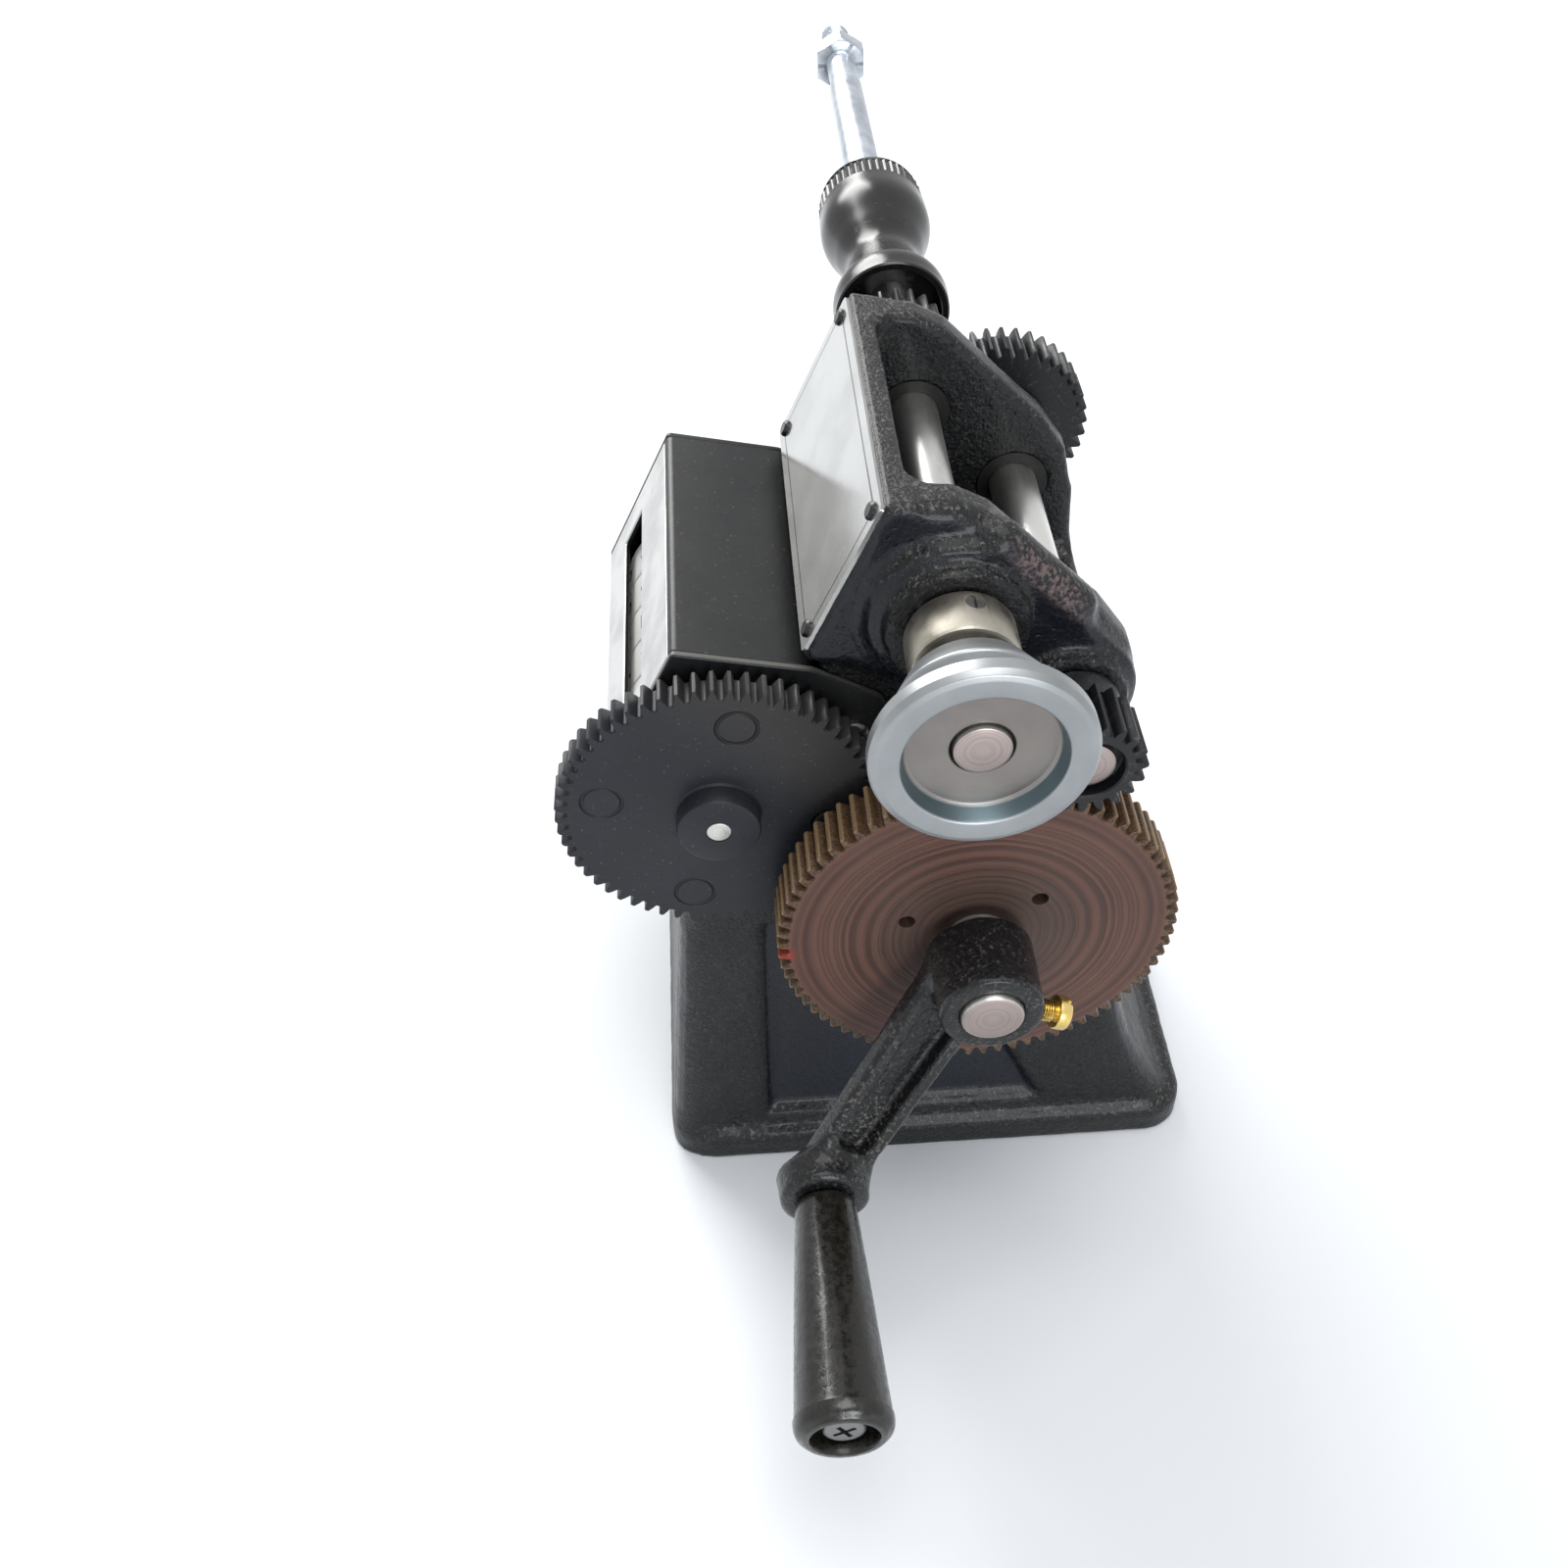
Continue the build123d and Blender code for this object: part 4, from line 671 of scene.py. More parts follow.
def charcoal_plastic():
    """Moulded counter gear: satin charcoal, sunk ejector rings darkened with painted shade,
    scratches and dust, and painted shade away from its +y, +z side.
    """
    finish = Finish("charcoal_plastic", Specular_IOR_Level=0.28)
    _, y, z = finish.split(finish.place(centre=(0, *COUNTER)))
    haze = finish.noise(12.0, 3, 0.6)
    grain = finish.noise(0.45, 2, 0.6)
    scratch = finish.noise(1.0, 2, 0.7, scale=(1, 0.25, 2.2)).above(0.66, 0.74)
    dust = finish.noise(0.7, 1, 0.4, seed=9).above(0.72, 0.76)
    colour = finish.mix((0.0085, 0.0095, 0.0135), (0.019, 0.0205, 0.026), haze)
    # painted shading: lighter and browner towards +y and +z, darker where the pulley's shadow falls
    colour = finish.mix(colour, (0.034, 0.031, 0.029), (y + z).above(4.0, 34.0) * 0.7)
    colour = finish.mix(colour, (0.09, 0.095, 0.10), dust * 0.5 + scratch * 0.18)
    marks = 0
    for direction in EJECTOR_DIRECTIONS:
        dy = y - EJECTOR_CIRCLE * cos(radians(direction))
        dz = z - EJECTOR_CIRCLE * sin(radians(direction))
        off = ((dy * dy + dz * dz).math("SQRT") - EJECTOR_R).math("ABSOLUTE")
        marks = marks + (1 - off.above(0.15, 0.5))
    # darker colour in the sunk rings: painted shade in their grooves
    colour = finish.mix(colour, (0.003, 0.003, 0.004), marks * 0.7)
    return finish.dress(colour, 0.38 + haze * 0.14, grain * 0.02, haze * 0.2, marks * -0.42)


def gloss_grip():
    """Glossy black grip with a mottled, slightly orange-peeled skin."""
    finish = Finish("gloss_grip", Coat_Weight=0.25, Coat_Roughness=0.1, Specular_IOR_Level=0.4)
    mottle = finish.noise(1.6, 3, 0.65)
    waves = finish.noise(4.5, 2, 0.5, scale=(0.6, 1, 1))
    colour = finish.mix((0.003, 0.003, 0.003), (0.0165, 0.0145, 0.0105), mottle)
    return finish.dress(colour, 0.16 + mottle.above(0.35, 0.65) * 0.24, mottle * 0.1, waves * 0.22)


def painted_sheet(name, bare_rim=None):
    """Black stoved paint on sheet, dusty and scuffed; the cut rim between two x may be bare."""
    finish = Finish(name, Specular_IOR_Level=0.32)
    haze = finish.noise(16.0, 4, 0.6)
    peel = finish.noise(0.7, 2, 0.5)
    dust = finish.noise(0.8, 1, 0.4, seed=4).above(0.72, 0.77)
    scuff = finish.noise(2.2, 3, 0.7, seed=12).above(0.62, 0.72)
    colour = finish.mix((0.0055, 0.006, 0.0065), (0.0135, 0.014, 0.0145), haze)
    colour = finish.mix(colour, (0.11, 0.105, 0.095), dust * 0.5 + scuff * 0.12)
    if bare_rim:
        low, high = bare_rim
        x = finish.split(finish.place())[0]
        rim = x.above(low, low + 0.15) * (1 - x.above(high - 0.15, high))
        colour = finish.mix(colour, (0.13, 0.125, 0.115), rim * (0.5 + haze * 0.5))
    return finish.dress(colour, 0.32 + haze * 0.15 + scuff * 0.1, peel * 0.02, haze * 0.15)


def glossy_black_steel():
    """Turned chuck: black oxide polished to a deep gloss, with warmer patches that are
    partly wear and partly a painted brownish reflection.
    """
    finish = Finish("glossy_black_steel", Metallic=0.2, Specular_IOR_Level=0.6)
    x = finish.split(finish.place())[0]
    turned = x + finish.noise(6.0) * 0.5
    rings = (turned * (2 * pi / 0.55)).math("SINE") * 0.5 + 0.5
    wear_and_sheen = finish.noise(2.4, 4, 0.7, scale=(1.6, 0.6, 0.6)).above(0.58, 0.74)
    # warmer patches: partly wear, partly a painted brownish reflection
    colour = finish.mix((0.010, 0.0095, 0.009), (0.06, 0.055, 0.045), wear_and_sheen * 0.35)
    return finish.dress(colour, 0.2 + wear_and_sheen * 0.2, rings * 0.01, wear_and_sheen * 0.01)


def satin_sheet(name, colour, roughness):
    """Brushed aluminium sheet: fine lines along X, cloudy handling marks, cut edges painted dark as
    shade.
    """
    finish = Finish(name, Metallic=0.9)
    _, y, z = finish.split(finish.place(centre=(0, *COUNTER)))
    out = y * -cos(FACE_TILT) + z * sin(FACE_TILT)
    # cut edges of the sheet and its window: painted dark as shade
    shaded_cut_edge = 1 - out.above(FACE_DEPTH - 0.45, FACE_DEPTH - 0.3)
    brushed = finish.noise(0.35, 2, 0.6, scale=(0.04, 1, 1))
    film = finish.noise(13.0, 4, 0.6, seed=2)
    sheet = finish.mix(darker(colour, 0.72), colour, film.above(0.3, 0.62))
    sheet = finish.mix(sheet, (0.02, 0.02, 0.02), shaded_cut_edge)
    return finish.dress(sheet, roughness + film * 0.12, brushed * 0.008)


def bare_nameplate():
    """Etched aluminium nameplate, left bare inside a thin dark border."""
    finish = Finish("bare_nameplate", Metallic=0.85)
    x, y, z = finish.split(finish.place(centre=(0, *PLATE_MIDDLE)))
    up = y * sin(FRONT_TILT) + z * cos(FRONT_TILT)
    out_x = x.math("ABSOLUTE") - (PLATE_HALF_X - PLATE_BORDER)
    out_up = up.math("ABSOLUTE") - (PLATE_HALF_UP - PLATE_BORDER)
    edge = out_x.math("MAXIMUM", out_up)
    line = 1 - edge.math("ABSOLUTE").above(0.12, 0.3)
    film = finish.noise(15.0, 4, 0.6)
    brushed = finish.noise(0.3, 2, 0.6, scale=(0.05, 1, 1))
    colour = finish.mix((0.36, 0.36, 0.35), (0.46, 0.46, 0.447), film.above(0.3, 0.65))
    colour = finish.mix(colour, (0.03, 0.03, 0.03), line * 0.9)
    return finish.dress(colour, 0.10 + film * 0.11, brushed * 0.006, line * -0.02)


def moulded_plastic(name, colour, roughness):
    """Plain moulded plastic or paint with a slight unevenness."""
    finish = Finish(name)
    haze = finish.noise(3.0, 3, 0.6)
    colour = finish.mix(darker(colour, 0.85), colour, haze)
    return finish.dress(colour, roughness + haze * 0.1, haze * 0.02)


EJECTOR_DIRECTIONS = (78, 167, 255, -12)
EJECTOR_CIRCLE = 22.2
EJECTOR_R = 3.8
FRONT_TILT = radians(24.6)
FACE_TILT = radians(26.3)
FACE_DEPTH = 20.4
plate_low, plate_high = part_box("nameplate")
PLATE_MIDDLE = np.array([(plate_low.y + plate_high.y) / 2, (plate_low.z + plate_high.z) / 2]) / MM
PLATE_HALF_X = plate_high.x / MM
PLATE_HALF_UP = (plate_high.z - plate_low.z) / MM / 2 / cos(FRONT_TILT)
PLATE_BORDER = 2.6
# the pulley's dished front: its floor's radius, its mouth's and its bore's chamfer
RECESS_R, MOUTH_R, BORE_RING_R = 13.0, 13.9, 5.5
# the foot's sunk end panels: |x| where they start, their lowest z, rise per step inwards
PANEL_OUT, PANEL_LOW, PANEL_SLOPE = 38.0, 13.0, 12.0
END_TINT = (0.45, 0.375, 0.35)
SPINDLE_END = span("spindle_shaft")[1] - 0.8

CASTING = sand_cast_enamel("casting_enamel", 1.0, 0.9, fixed=True)
CRANK_ENAMEL = sand_cast_enamel("crank_enamel", 0.7, 1.0, seed=40.0)
PHENOLIC = turned_phenolic()
BLACK_STEEL = oiled_black_steel()
GEAR_PLASTIC = charcoal_plastic()
GRIP = gloss_grip()
COVER = painted_sheet("painted_sheet")
SIDE_COVER = painted_sheet("painted_side", (35.15, 36.35))
CHUCK = glossy_black_steel()
SHAFT = ground_steel("ground_steel", COUNTER, span("counter_shaft")[1], (0.7, 0.68, 0.64))
LAY_STEEL = ground_steel("lay_steel", LAY, span("layshaft")[1], END_TINT)
SPINDLE_STEEL = ground_steel("spindle_steel", SPINDLE, SPINDLE_END, END_TINT)
CRANK_STEEL = ground_steel("crank_steel", CRANK, span("crank_shaft")[1], END_TINT)
ZINC_PULLEY = plated_pulley()
COLLAR_STEEL = machined_metal("collar_steel", (0.43, 0.40, 0.34), 0.36, SPINDLE, 0.006)
ZINC_ROD = machined_metal("zinc_rod", (0.60, 0.645, 0.70), 0.3, SPINDLE, 0.01, cloud=0.4)
BLACK_SCREWS = machined_metal("black_screws", (0.05, 0.05, 0.05), 0.3)
BRASS = machined_metal("turned_brass", (0.83, 0.62, 0.22), 0.24)
SCREW_STEEL = machined_metal("dark_screw_steel", (0.22, 0.22, 0.22), 0.35)
OILED_BUSH = machined_metal("oiled_bush", (0.012, 0.011, 0.010), 0.45, metallic=0.3)
FACE_SILVER = satin_sheet("face_silver", (0.62, 0.62, 0.61), 0.36)
NAMEPLATE = bare_nameplate()
WHEEL_WHITE = moulded_plastic("wheel_white", (0.82, 0.82, 0.79), 0.42)
DIGIT_BLACK = moulded_plastic("digit_black", (0.02, 0.02, 0.02), 0.4)
KNOB_BLACK = moulded_plastic("knob_black", (0.03, 0.03, 0.03), 0.4)


# ---- frame casting ------------------------------------------------------------------
def uneven(x, y, z, size):
    """Waviness of a sand mould: products of sines that never line up, from -1 to 1."""
    x, y, z = x / size, y / size, z / size
    slow = np.sin(1.9 * x + 1.1 * y) * np.sin(1.7 * y - 0.9 * z + 1.3) * np.sin(2.1 * z + 0.8 * x)
    fast = np.sin(4.3 * x - 2.9 * z + 0.6) * np.sin(3.7 * y + 3.1 * z) * np.sin(3.3 * x + 4.1 * y)
    return 0.6 * slow + 0.4 * fast


BASE_HALF_X, BASE_HALF_Y, BASE_CORNER, FLANGE_TOP = 43.5, 60.75, 10, 8
HEAD_HALF, COLUMN_HALF, BAY_HALF, HOLLOW_HALF = 37.0, 35.0, 28.0, 25.0
SHELF_Z, COLUMN_FRONT = 99.0, -23.7
FRONT_LOW = (-26.9, 148.7)
COLUMN_OUTLINE = [
    (-54.5, 88), (-54, SHELF_Z), (COLUMN_FRONT, SHELF_Z), (COLUMN_FRONT, 147),
    (30, 147), (34.6, 136), (35.4, 125), (40.5, 88),
]
HEAD_OUTLINE = [
    (34.6, 121), (-7.8, 121), (-10.9, 141.8), FRONT_LOW, (-12.12, 180.98),
    (-0.2, 179.6), (6.3, 176), (27.3, 154.5), (32.6, 146.5), (34.6, 136),
]
BAY_OUTLINE = [
    (-18.7, 119), (-18.7, 154.7), (-22.06, 148.7), (-7.28, 181),
    (-7.28, 190), (64, 190), (64, 125.6), (20, 119),
]
RECESS_OUTLINE = [(-38, PANEL_LOW), (25, PANEL_LOW), (17, 30), (2, 74), (-37, 74)]
# each boss: its axis, radius and run in x, then each bore's axis and radius
BOSSES = (
    (SPINDLE, 13.0, 30, 43), (LAY, 10.5, 30, 43), (CRANK, 14.0, 30, 37),
    (SPINDLE, 9.5, -49, -30), (LAY, 11.0, -49, -30), (CRANK, 14.0, -37, -30),
)
BORES = ((SPINDLE, 7.5), (LAY, 7.5), (CRANK, 8.5))
# forms start below the bench, which then cuts them off flat
BELOW_BENCH = -9
CASTING_CELL, ARM_CELL = 1.13, 0.62


def casting_distance(x, y, z):
    """Distance to the cast stand.

    A flange, a foot whose sides lean in and whose rear sweeps up in a hollow curve, the
    column and the head with two cheeks join with fillets. The bearing bosses stand on
    them. The bay between the cheeks, the underside, the sunk panels and the bores come out.
    The foot's half length and its front are read off a few heights, straight between them.
    """
    base = round_rectangle(x, y, BASE_HALF_X, -BASE_HALF_Y, BASE_HALF_Y, BASE_CORNER)
    flange = prism(base, between(z, BELOW_BENCH, FLANGE_TOP), 2.5)
    half = np.interp(z, (7, 55, 88), (41, 37, COLUMN_HALF))
    front = np.interp(z, (9, 39, 81, SHELF_Z), (-60.7, -58.05, -54.25, -54))
    rear = 40.5 + np.minimum(20.25 * np.exp(-((np.maximum(z, 0) / 25) ** 1.42)), 17.9)
    outline = round_rectangle(x, y, half, front, rear, 5)
    foot = prism(outline, between(z, BELOW_BENCH, SHELF_Z), 1.2)
    column = prism(polygon_distance(y, z, COLUMN_OUTLINE), np.abs(x) - COLUMN_HALF, 1.2)
    behind_front = (y - FRONT_LOW[0]) * cos(FRONT_TILT) - (z - FRONT_LOW[1]) * sin(FRONT_TILT)
    edge = 0.7 + 2.7 * np.clip((behind_front - 2) / 6, 0, 1)
    head = prism(polygon_distance(y, z, HEAD_OUTLINE), np.abs(x) - HEAD_HALF, edge)
    solid = join(join(join(flange, foot, 3.0), column, 0.8), head, 1.5)
    saddle = hull_distance(y, z, SPINDLE, 16.0, LAY, 12.6)
    solid = join(solid, prism(saddle, between(x, 30, 40), 1.2), 2.5)
    ridge = capsule_distance(x, y, z, (36.6, 8.0, 172.6), (36.6, 21.9, 157.9), 3.6)
    solid = join(solid, ridge, 3.0)
    for boss in BOSSES:
        solid = join(solid, disc_distance(x, y, z, *boss, 0.7), 1.5)
    solid = solid - 0.13 * uneven(x, y, z, 5.0)
    bay = prism(polygon_distance(y, z, BAY_OUTLINE), np.abs(x) - BAY_HALF, 4.5)
    solid = cut(solid, bay, 2.0)
    under = prism(round_rectangle(x, y, HOLLOW_HALF, -49, 39, 8), between(z, -20, 81), 3)
    upper = prism(round_rectangle(x, y, HOLLOW_HALF, -16.7, 33.5, 5), between(z, 70, 112), 3)
    solid = cut(solid, join(under, upper, 2.0), 1.0)
    out_of_floor = (np.abs(x) - PANEL_OUT) * PANEL_SLOPE + (z - PANEL_LOW)
    above_floor = out_of_floor / np.hypot(PANEL_SLOPE, 1)
    recess = both(polygon_distance(y, z, RECESS_OUTLINE), -above_floor, 3.0)
    solid = cut(solid, recess, 2.5)
    for axis, radius in BORES:
        solid = cut(solid, off_axis(y, z, axis) - radius, 0.5)
    return both(solid, -z, 0.3)


carve("casting", casting_distance, (-50, -62.5, -1.05), (45, 63, 183), CASTING_CELL, CASTING,
      "frame", ["frame_casting"])


# ---- crank arm ----------------------------------------------------------------------
ARM_ROOT_X = 66.0
ARM_RISE = radians(22.4)
ARM_UP = np.array([sin(ARM_RISE), *(cos(ARM_RISE) * ALONG_ARM)])
ARM_OUT = np.array([cos(ARM_RISE), *(-sin(ARM_RISE) * ALONG_ARM)])
ARM_ACROSS = np.cross(ARM_OUT, ARM_UP)
ARM_END = CRANK_LENGTH / cos(ARM_RISE)
CLAMP_DIRECTION = radians(-21.0)
CLAMP_X = 75.0
CLAMP_HOLE_R, ARM_BORE_R = 2.45, 6.15
# the bar: half its width at the hub, what it loses by the boss, its depth, then the width of
# its side walls and the depth of the channel between them
ARM_HALF, ARM_TAPER, ARM_DEPTH, ARM_WALL, CHANNEL_DEPTH = 8.2, 1.7, 5.4, 3.3, 3.5
HUB_PROFILE = [(61.0, -5), (61.0, 6.3), (63.6, 9.1), (77.9, 9.1), (77.9, -5)]
BOSS_PROFILE = [(83.7, -5), (83.7, 7.2), (84.6, 8.5), (89.2, 8.1), (89.7, 7.4), (89.7, -5)]
PROFILE_EDGE = 0.8


def arm_distance(x, y, z):
    """Distance to the crank arm: a tapering channel bar that rises from hub to boss.

    The hub and the boss are turned profiles. The bore, the room for the gear behind the hub,
    the boss's flat end and the clamp screw's hole come out.
    """
    from_root = (x - ARM_ROOT_X, y - CRANK[0], z - CRANK[1])
    along, across, out = [
        sum(a * b for a, b in zip(axis, from_root)) for axis in (ARM_UP, ARM_ACROSS, ARM_OUT)
    ]
    side = np.abs(across) - (ARM_HALF - ARM_TAPER * along / ARM_END)
    bar = prism(prism(side, between(along, 0, ARM_END), 1.0), between(out, -ARM_DEPTH, 0), 1.5)
    channel = prism(side + ARM_WALL, between(along, 12.9, ARM_END - 9.8), 2.0)
    solid = cut(bar, prism(channel, between(out, -CHANNEL_DEPTH, 5), 1.0), 1.2)
    off_crank, off_handle = off_axis(y, z, CRANK), off_axis(y, z, HANDLE)
    hub = polygon_distance(x, off_crank, HUB_PROFILE) - PROFILE_EDGE
    boss = polygon_distance(x, off_handle, BOSS_PROFILE) - PROFILE_EDGE
    solid = join(join(solid, hub, 3.5), boss, 3.0)
    solid = solid - 0.12 * uneven(x, y, z, 3.5)
    solid = cut(solid, off_crank - ARM_BORE_R, 0.8)
    solid = cut(solid, both(off_crank - 9.9, x - 60.2, 0.4), 0.3)
    solid = cut(solid, both(off_handle - 12, 90.5 - x, 0.2), 0.3)
    screw_end = CRANK + 20 * np.array([cos(CLAMP_DIRECTION), sin(CLAMP_DIRECTION)])
    screw = capsule_distance(x, y, z, (CLAMP_X, *CRANK), (CLAMP_X, *screw_end), CLAMP_HOLE_R)
    return cut(solid, screw, 0.5)


carve("crank_casting", arm_distance, (59.5, -41, 41), (92, 16, 107), ARM_CELL, CRANK_ENAMEL,
      "crank", ["crank_arm"])


# ---- gear train ---------------------------------------------------------------------
def meshed_phase(phase, teeth, axis, other_axis, other_teeth):
    """Phase of a gear that meshes with another: its tooth gap meets the other's tooth."""
    direction = degrees(np.arctan2(other_axis[1] - axis[1], other_axis[0] - axis[0]))
    turns = (direction - phase) * teeth / 360
    return direction + 180 - (0.5 - turns) * 360 / other_teeth


CRANK_TEETH, DRIVE_TEETH, COUNTER_TEETH = 76, 48, 60
PINION_TEETH, LAY_TEETH = 19, 38
LAY_PHASE = meshed_phase(0.0, CRANK_TEETH, CRANK, LAY, PINION_TEETH)
SPINDLE_PHASE = meshed_phase(LAY_PHASE, LAY_TEETH, LAY, SPINDLE, PINION_TEETH)
COUNTER_PHASE = meshed_phase(0.0, DRIVE_TEETH, CRANK, COUNTER, COUNTER_TEETH)
# radii of the shafts, of the holes for dowels and set screws, of the collars and the washer
CRANK_R, LAY_R, SPINDLE_R, COUNTER_R = 6.0, 5.0, 5.0, 2.4
DOWEL_R, SET_SCREW_R, COLLAR_R, WASHER_R = 1.65, 1.8, 10.0, 10.5
# x of the faces that neighbouring gears share
CRANK_BACK, CRANK_FRONT, DRIVE_BACK = 49, 59, 38.6
COUNTER_BACK, COUNTER_FACE = 38.9, 44.9
PINION_BACK, PINION_FRONT = 48.8, 60.4
FAR_BACK, FAR_FRONT, FAR_PINION_BACK = -58.3, -49.3, -61.3


def drill(piece, start, end, outline):
    """Takes a straight hole with a closed outline out of a piece, between two points."""
    start, end = Vector(start) * MM, Vector(end) * MM
    turn = (end - start).to_track_quat("Z", "Y").to_matrix()
    section = outline * MM @ np.array([turn.col[0], turn.col[1]])
    count = len(outline)
    caps = [list(range(count))[::-1], list(range(count, 2 * count))]
    ends = [section + np.array(start), section + np.array(end)]
    mesh = bpy.data.meshes.new("drill")
    mesh.from_pydata(np.concatenate(ends), [], grid_faces(2, count).tolist() + caps)
    cutter = add_object("drill", mesh)
    modifier = piece.modifiers.new("hole", "BOOLEAN")
    modifier.object = cutter
    modifier.solver = "EXACT"
    bpy.context.view_layer.update()
    evaluated = piece.evaluated_get(bpy.context.evaluated_depsgraph_get())
    holed = bpy.data.meshes.new_from_object(evaluated)
    piece.modifiers.remove(modifier)
    piece.data = holed
    bpy.data.objects.remove(cutter)
    return piece


def circle(radius):
    """Outline of a round hole."""
    angle = full_turn(24)
    return radius * np.column_stack([np.cos(angle), np.sin(angle)])


def drill_set_screw(piece, axis, x, start, end, direction):
    """Round hole towards an X-wise axis for a set screw, between two radii."""
    ends = [around(axis, x, radius, direction) for radius in (start, end)]
    return drill(piece, *ends, circle(SET_SCREW_R))


crank_wheel = gear("crank_wheel", CRANK, CRANK_TEETH, 0.0,
                   [(CRANK_BACK, CRANK_R), (CRANK_BACK, 34.5)], (CRANK_BACK, CRANK_FRONT),
                   [(CRANK_FRONT, CRANK_R), (CRANK_FRONT, 34.5)],
                   PHENOLIC, "crank", ["crank_gear"], 0.3)
for node in ("gear_dowel_1", "gear_dowel_2", "gear_dowel_3"):
    low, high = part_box(node)
    middle = [(low.y + high.y) / 2 / MM, (low.z + high.z) / 2 / MM]
    drill(crank_wheel, (high.x / MM - 0.05, *middle), (CRANK_FRONT + 1, *middle), circle(DOWEL_R))
gear("counter_drive_wheel", CRANK, DRIVE_TEETH, 0.0,
     [(DRIVE_BACK, CRANK_R), (DRIVE_BACK, 21.5)], (DRIVE_BACK, CRANK_BACK),
     [(CRANK_BACK, CRANK_R), (CRANK_BACK, 21.5)], BLACK_STEEL, "crank", ["counter_drive_gear"])
gear("counter_wheel", COUNTER, COUNTER_TEETH, COUNTER_PHASE,
     [(COUNTER_BACK, COUNTER_R), (COUNTER_BACK, 27)], (COUNTER_BACK, COUNTER_FACE),
     [(49.8, COUNTER_R), (49.8, 7.3), (49.6, 7.8), (49.2, 8.0), (45.4, 8.0), (45.0, 8.3),
      (COUNTER_FACE, 8.8), (COUNTER_FACE, 27)],
     GEAR_PLASTIC, "counter_input", ["counter_gear"], 0.35)
gear("lay_pinion", LAY, PINION_TEETH, LAY_PHASE,
     [(43.3, LAY_R), (43.3, 8.3), (43.7, 8.7), (PINION_BACK, 8.7)], (PINION_BACK, PINION_FRONT),
     [(57.3, LAY_R), (57.3, 6.0), (57.6, 6.4), (60.1, 6.4), (PINION_FRONT, 6.7)],
     BLACK_STEEL, "layshaft", ["layshaft_pinion"])
lay_wheel = gear("lay_wheel", LAY, LAY_TEETH, LAY_PHASE,
                 [(-64.8, LAY_R), (-64.8, 8.5), (-64.3, 9.0), (FAR_BACK, 9.0), (FAR_BACK, 16)],
                 (FAR_BACK, FAR_FRONT), [(FAR_FRONT, LAY_R), (FAR_FRONT, 16)],
                 BLACK_STEEL, "layshaft", ["layshaft_gear"])
gear("spindle_wheel", SPINDLE, PINION_TEETH, SPINDLE_PHASE, [(FAR_PINION_BACK, SPINDLE_R)],
     (FAR_PINION_BACK, FAR_FRONT), [(FAR_FRONT, SPINDLE_R)],
     BLACK_STEEL, "spindle", ["spindle_pinion"])
drill_set_screw(lay_wheel, LAY, -61.55, 4, 12, 60)

# ---- shafts, collars, pulley and chuck ----------------------------------------------
rod("crank_spindle", CRANK, *span("crank_shaft"), CRANK_R, CRANK_STEEL, "crank",
    ["crank_shaft"], 0.7)
rod("lay_spindle", LAY, *span("layshaft"), LAY_R, LAY_STEEL, "layshaft", ["layshaft"], 0.5)
rod("winder_spindle", SPINDLE, span("spindle_shaft")[0], SPINDLE_END, SPINDLE_R, SPINDLE_STEEL,
    "spindle", ["spindle_shaft"], 0.6)
rod("counter_spindle", COUNTER, *span("counter_shaft"), COUNTER_R, SHAFT, "counter_input",
    ["counter_shaft"], 0.4)
rod("thrust_washer", CRANK, *span("crank_thrust_washer"), WASHER_R, SHAFT, "crank",
    ["crank_thrust_washer"], 0.2, CRANK_R)
near_collar = rod("near_collar", SPINDLE, *span("spindle_collar"), COLLAR_R, COLLAR_STEEL,
                  "spindle", ["spindle_collar"], 0.9, SPINDLE_R)
drill_set_screw(near_collar, SPINDLE, 46.7, 5, 12, 78.6)
far_collar = rod("far_collar", CRANK, *span("crank_collar"), COLLAR_R, COLLAR_STEEL, "crank",
                 ["crank_collar"], 0.7, CRANK_R)
drill_set_screw(far_collar, CRANK, -41.8, 6, 12, 90)

lathe("grooved_pulley", SPINDLE, rounded([
    (58, SPINDLE_R, 0), (58, 11.5, 0.6), (64.7, 14.7, 0.7), (67.6, 10.5, 1.2), (68.4, 10.5, 1.2),
    (71.6, 18.8, 0.4), (72.2, 19.1, 0.5), (74.6, 19.1, 0.6), (75.7, 18.4, 0.5), (76, 17.4, 0.3),
    (76, MOUTH_R, 0.5), (72.3, RECESS_R, 0.8), (72.3, BORE_RING_R, 0.2), (71.7, SPINDLE_R, 0),
]), ZINC_PULLEY, "spindle", ["belt_pulley"], segments=160)


def smooth_curve(points, steps=8):
    """Points along a curve that passes through each given point with even turning."""
    points = np.asarray(points, float)
    before = np.concatenate([[2 * points[0] - points[1]], points[:-2]])
    after = np.concatenate([points[2:], [2 * points[-1] - points[-2]]])
    t = np.linspace(0, 1, steps, endpoint=False)[:, None]
    spans = [
        0.5 * (2 * p + (q - a) * t + (2 * a - 5 * p + 4 * q - b) * t**2
               + (3 * p - a - 3 * q + b) * t**3)
        for a, p, q, b in zip(before, points[:-1], points[1:], after)
    ]
    return np.concatenate(spans + [points[-1:]])


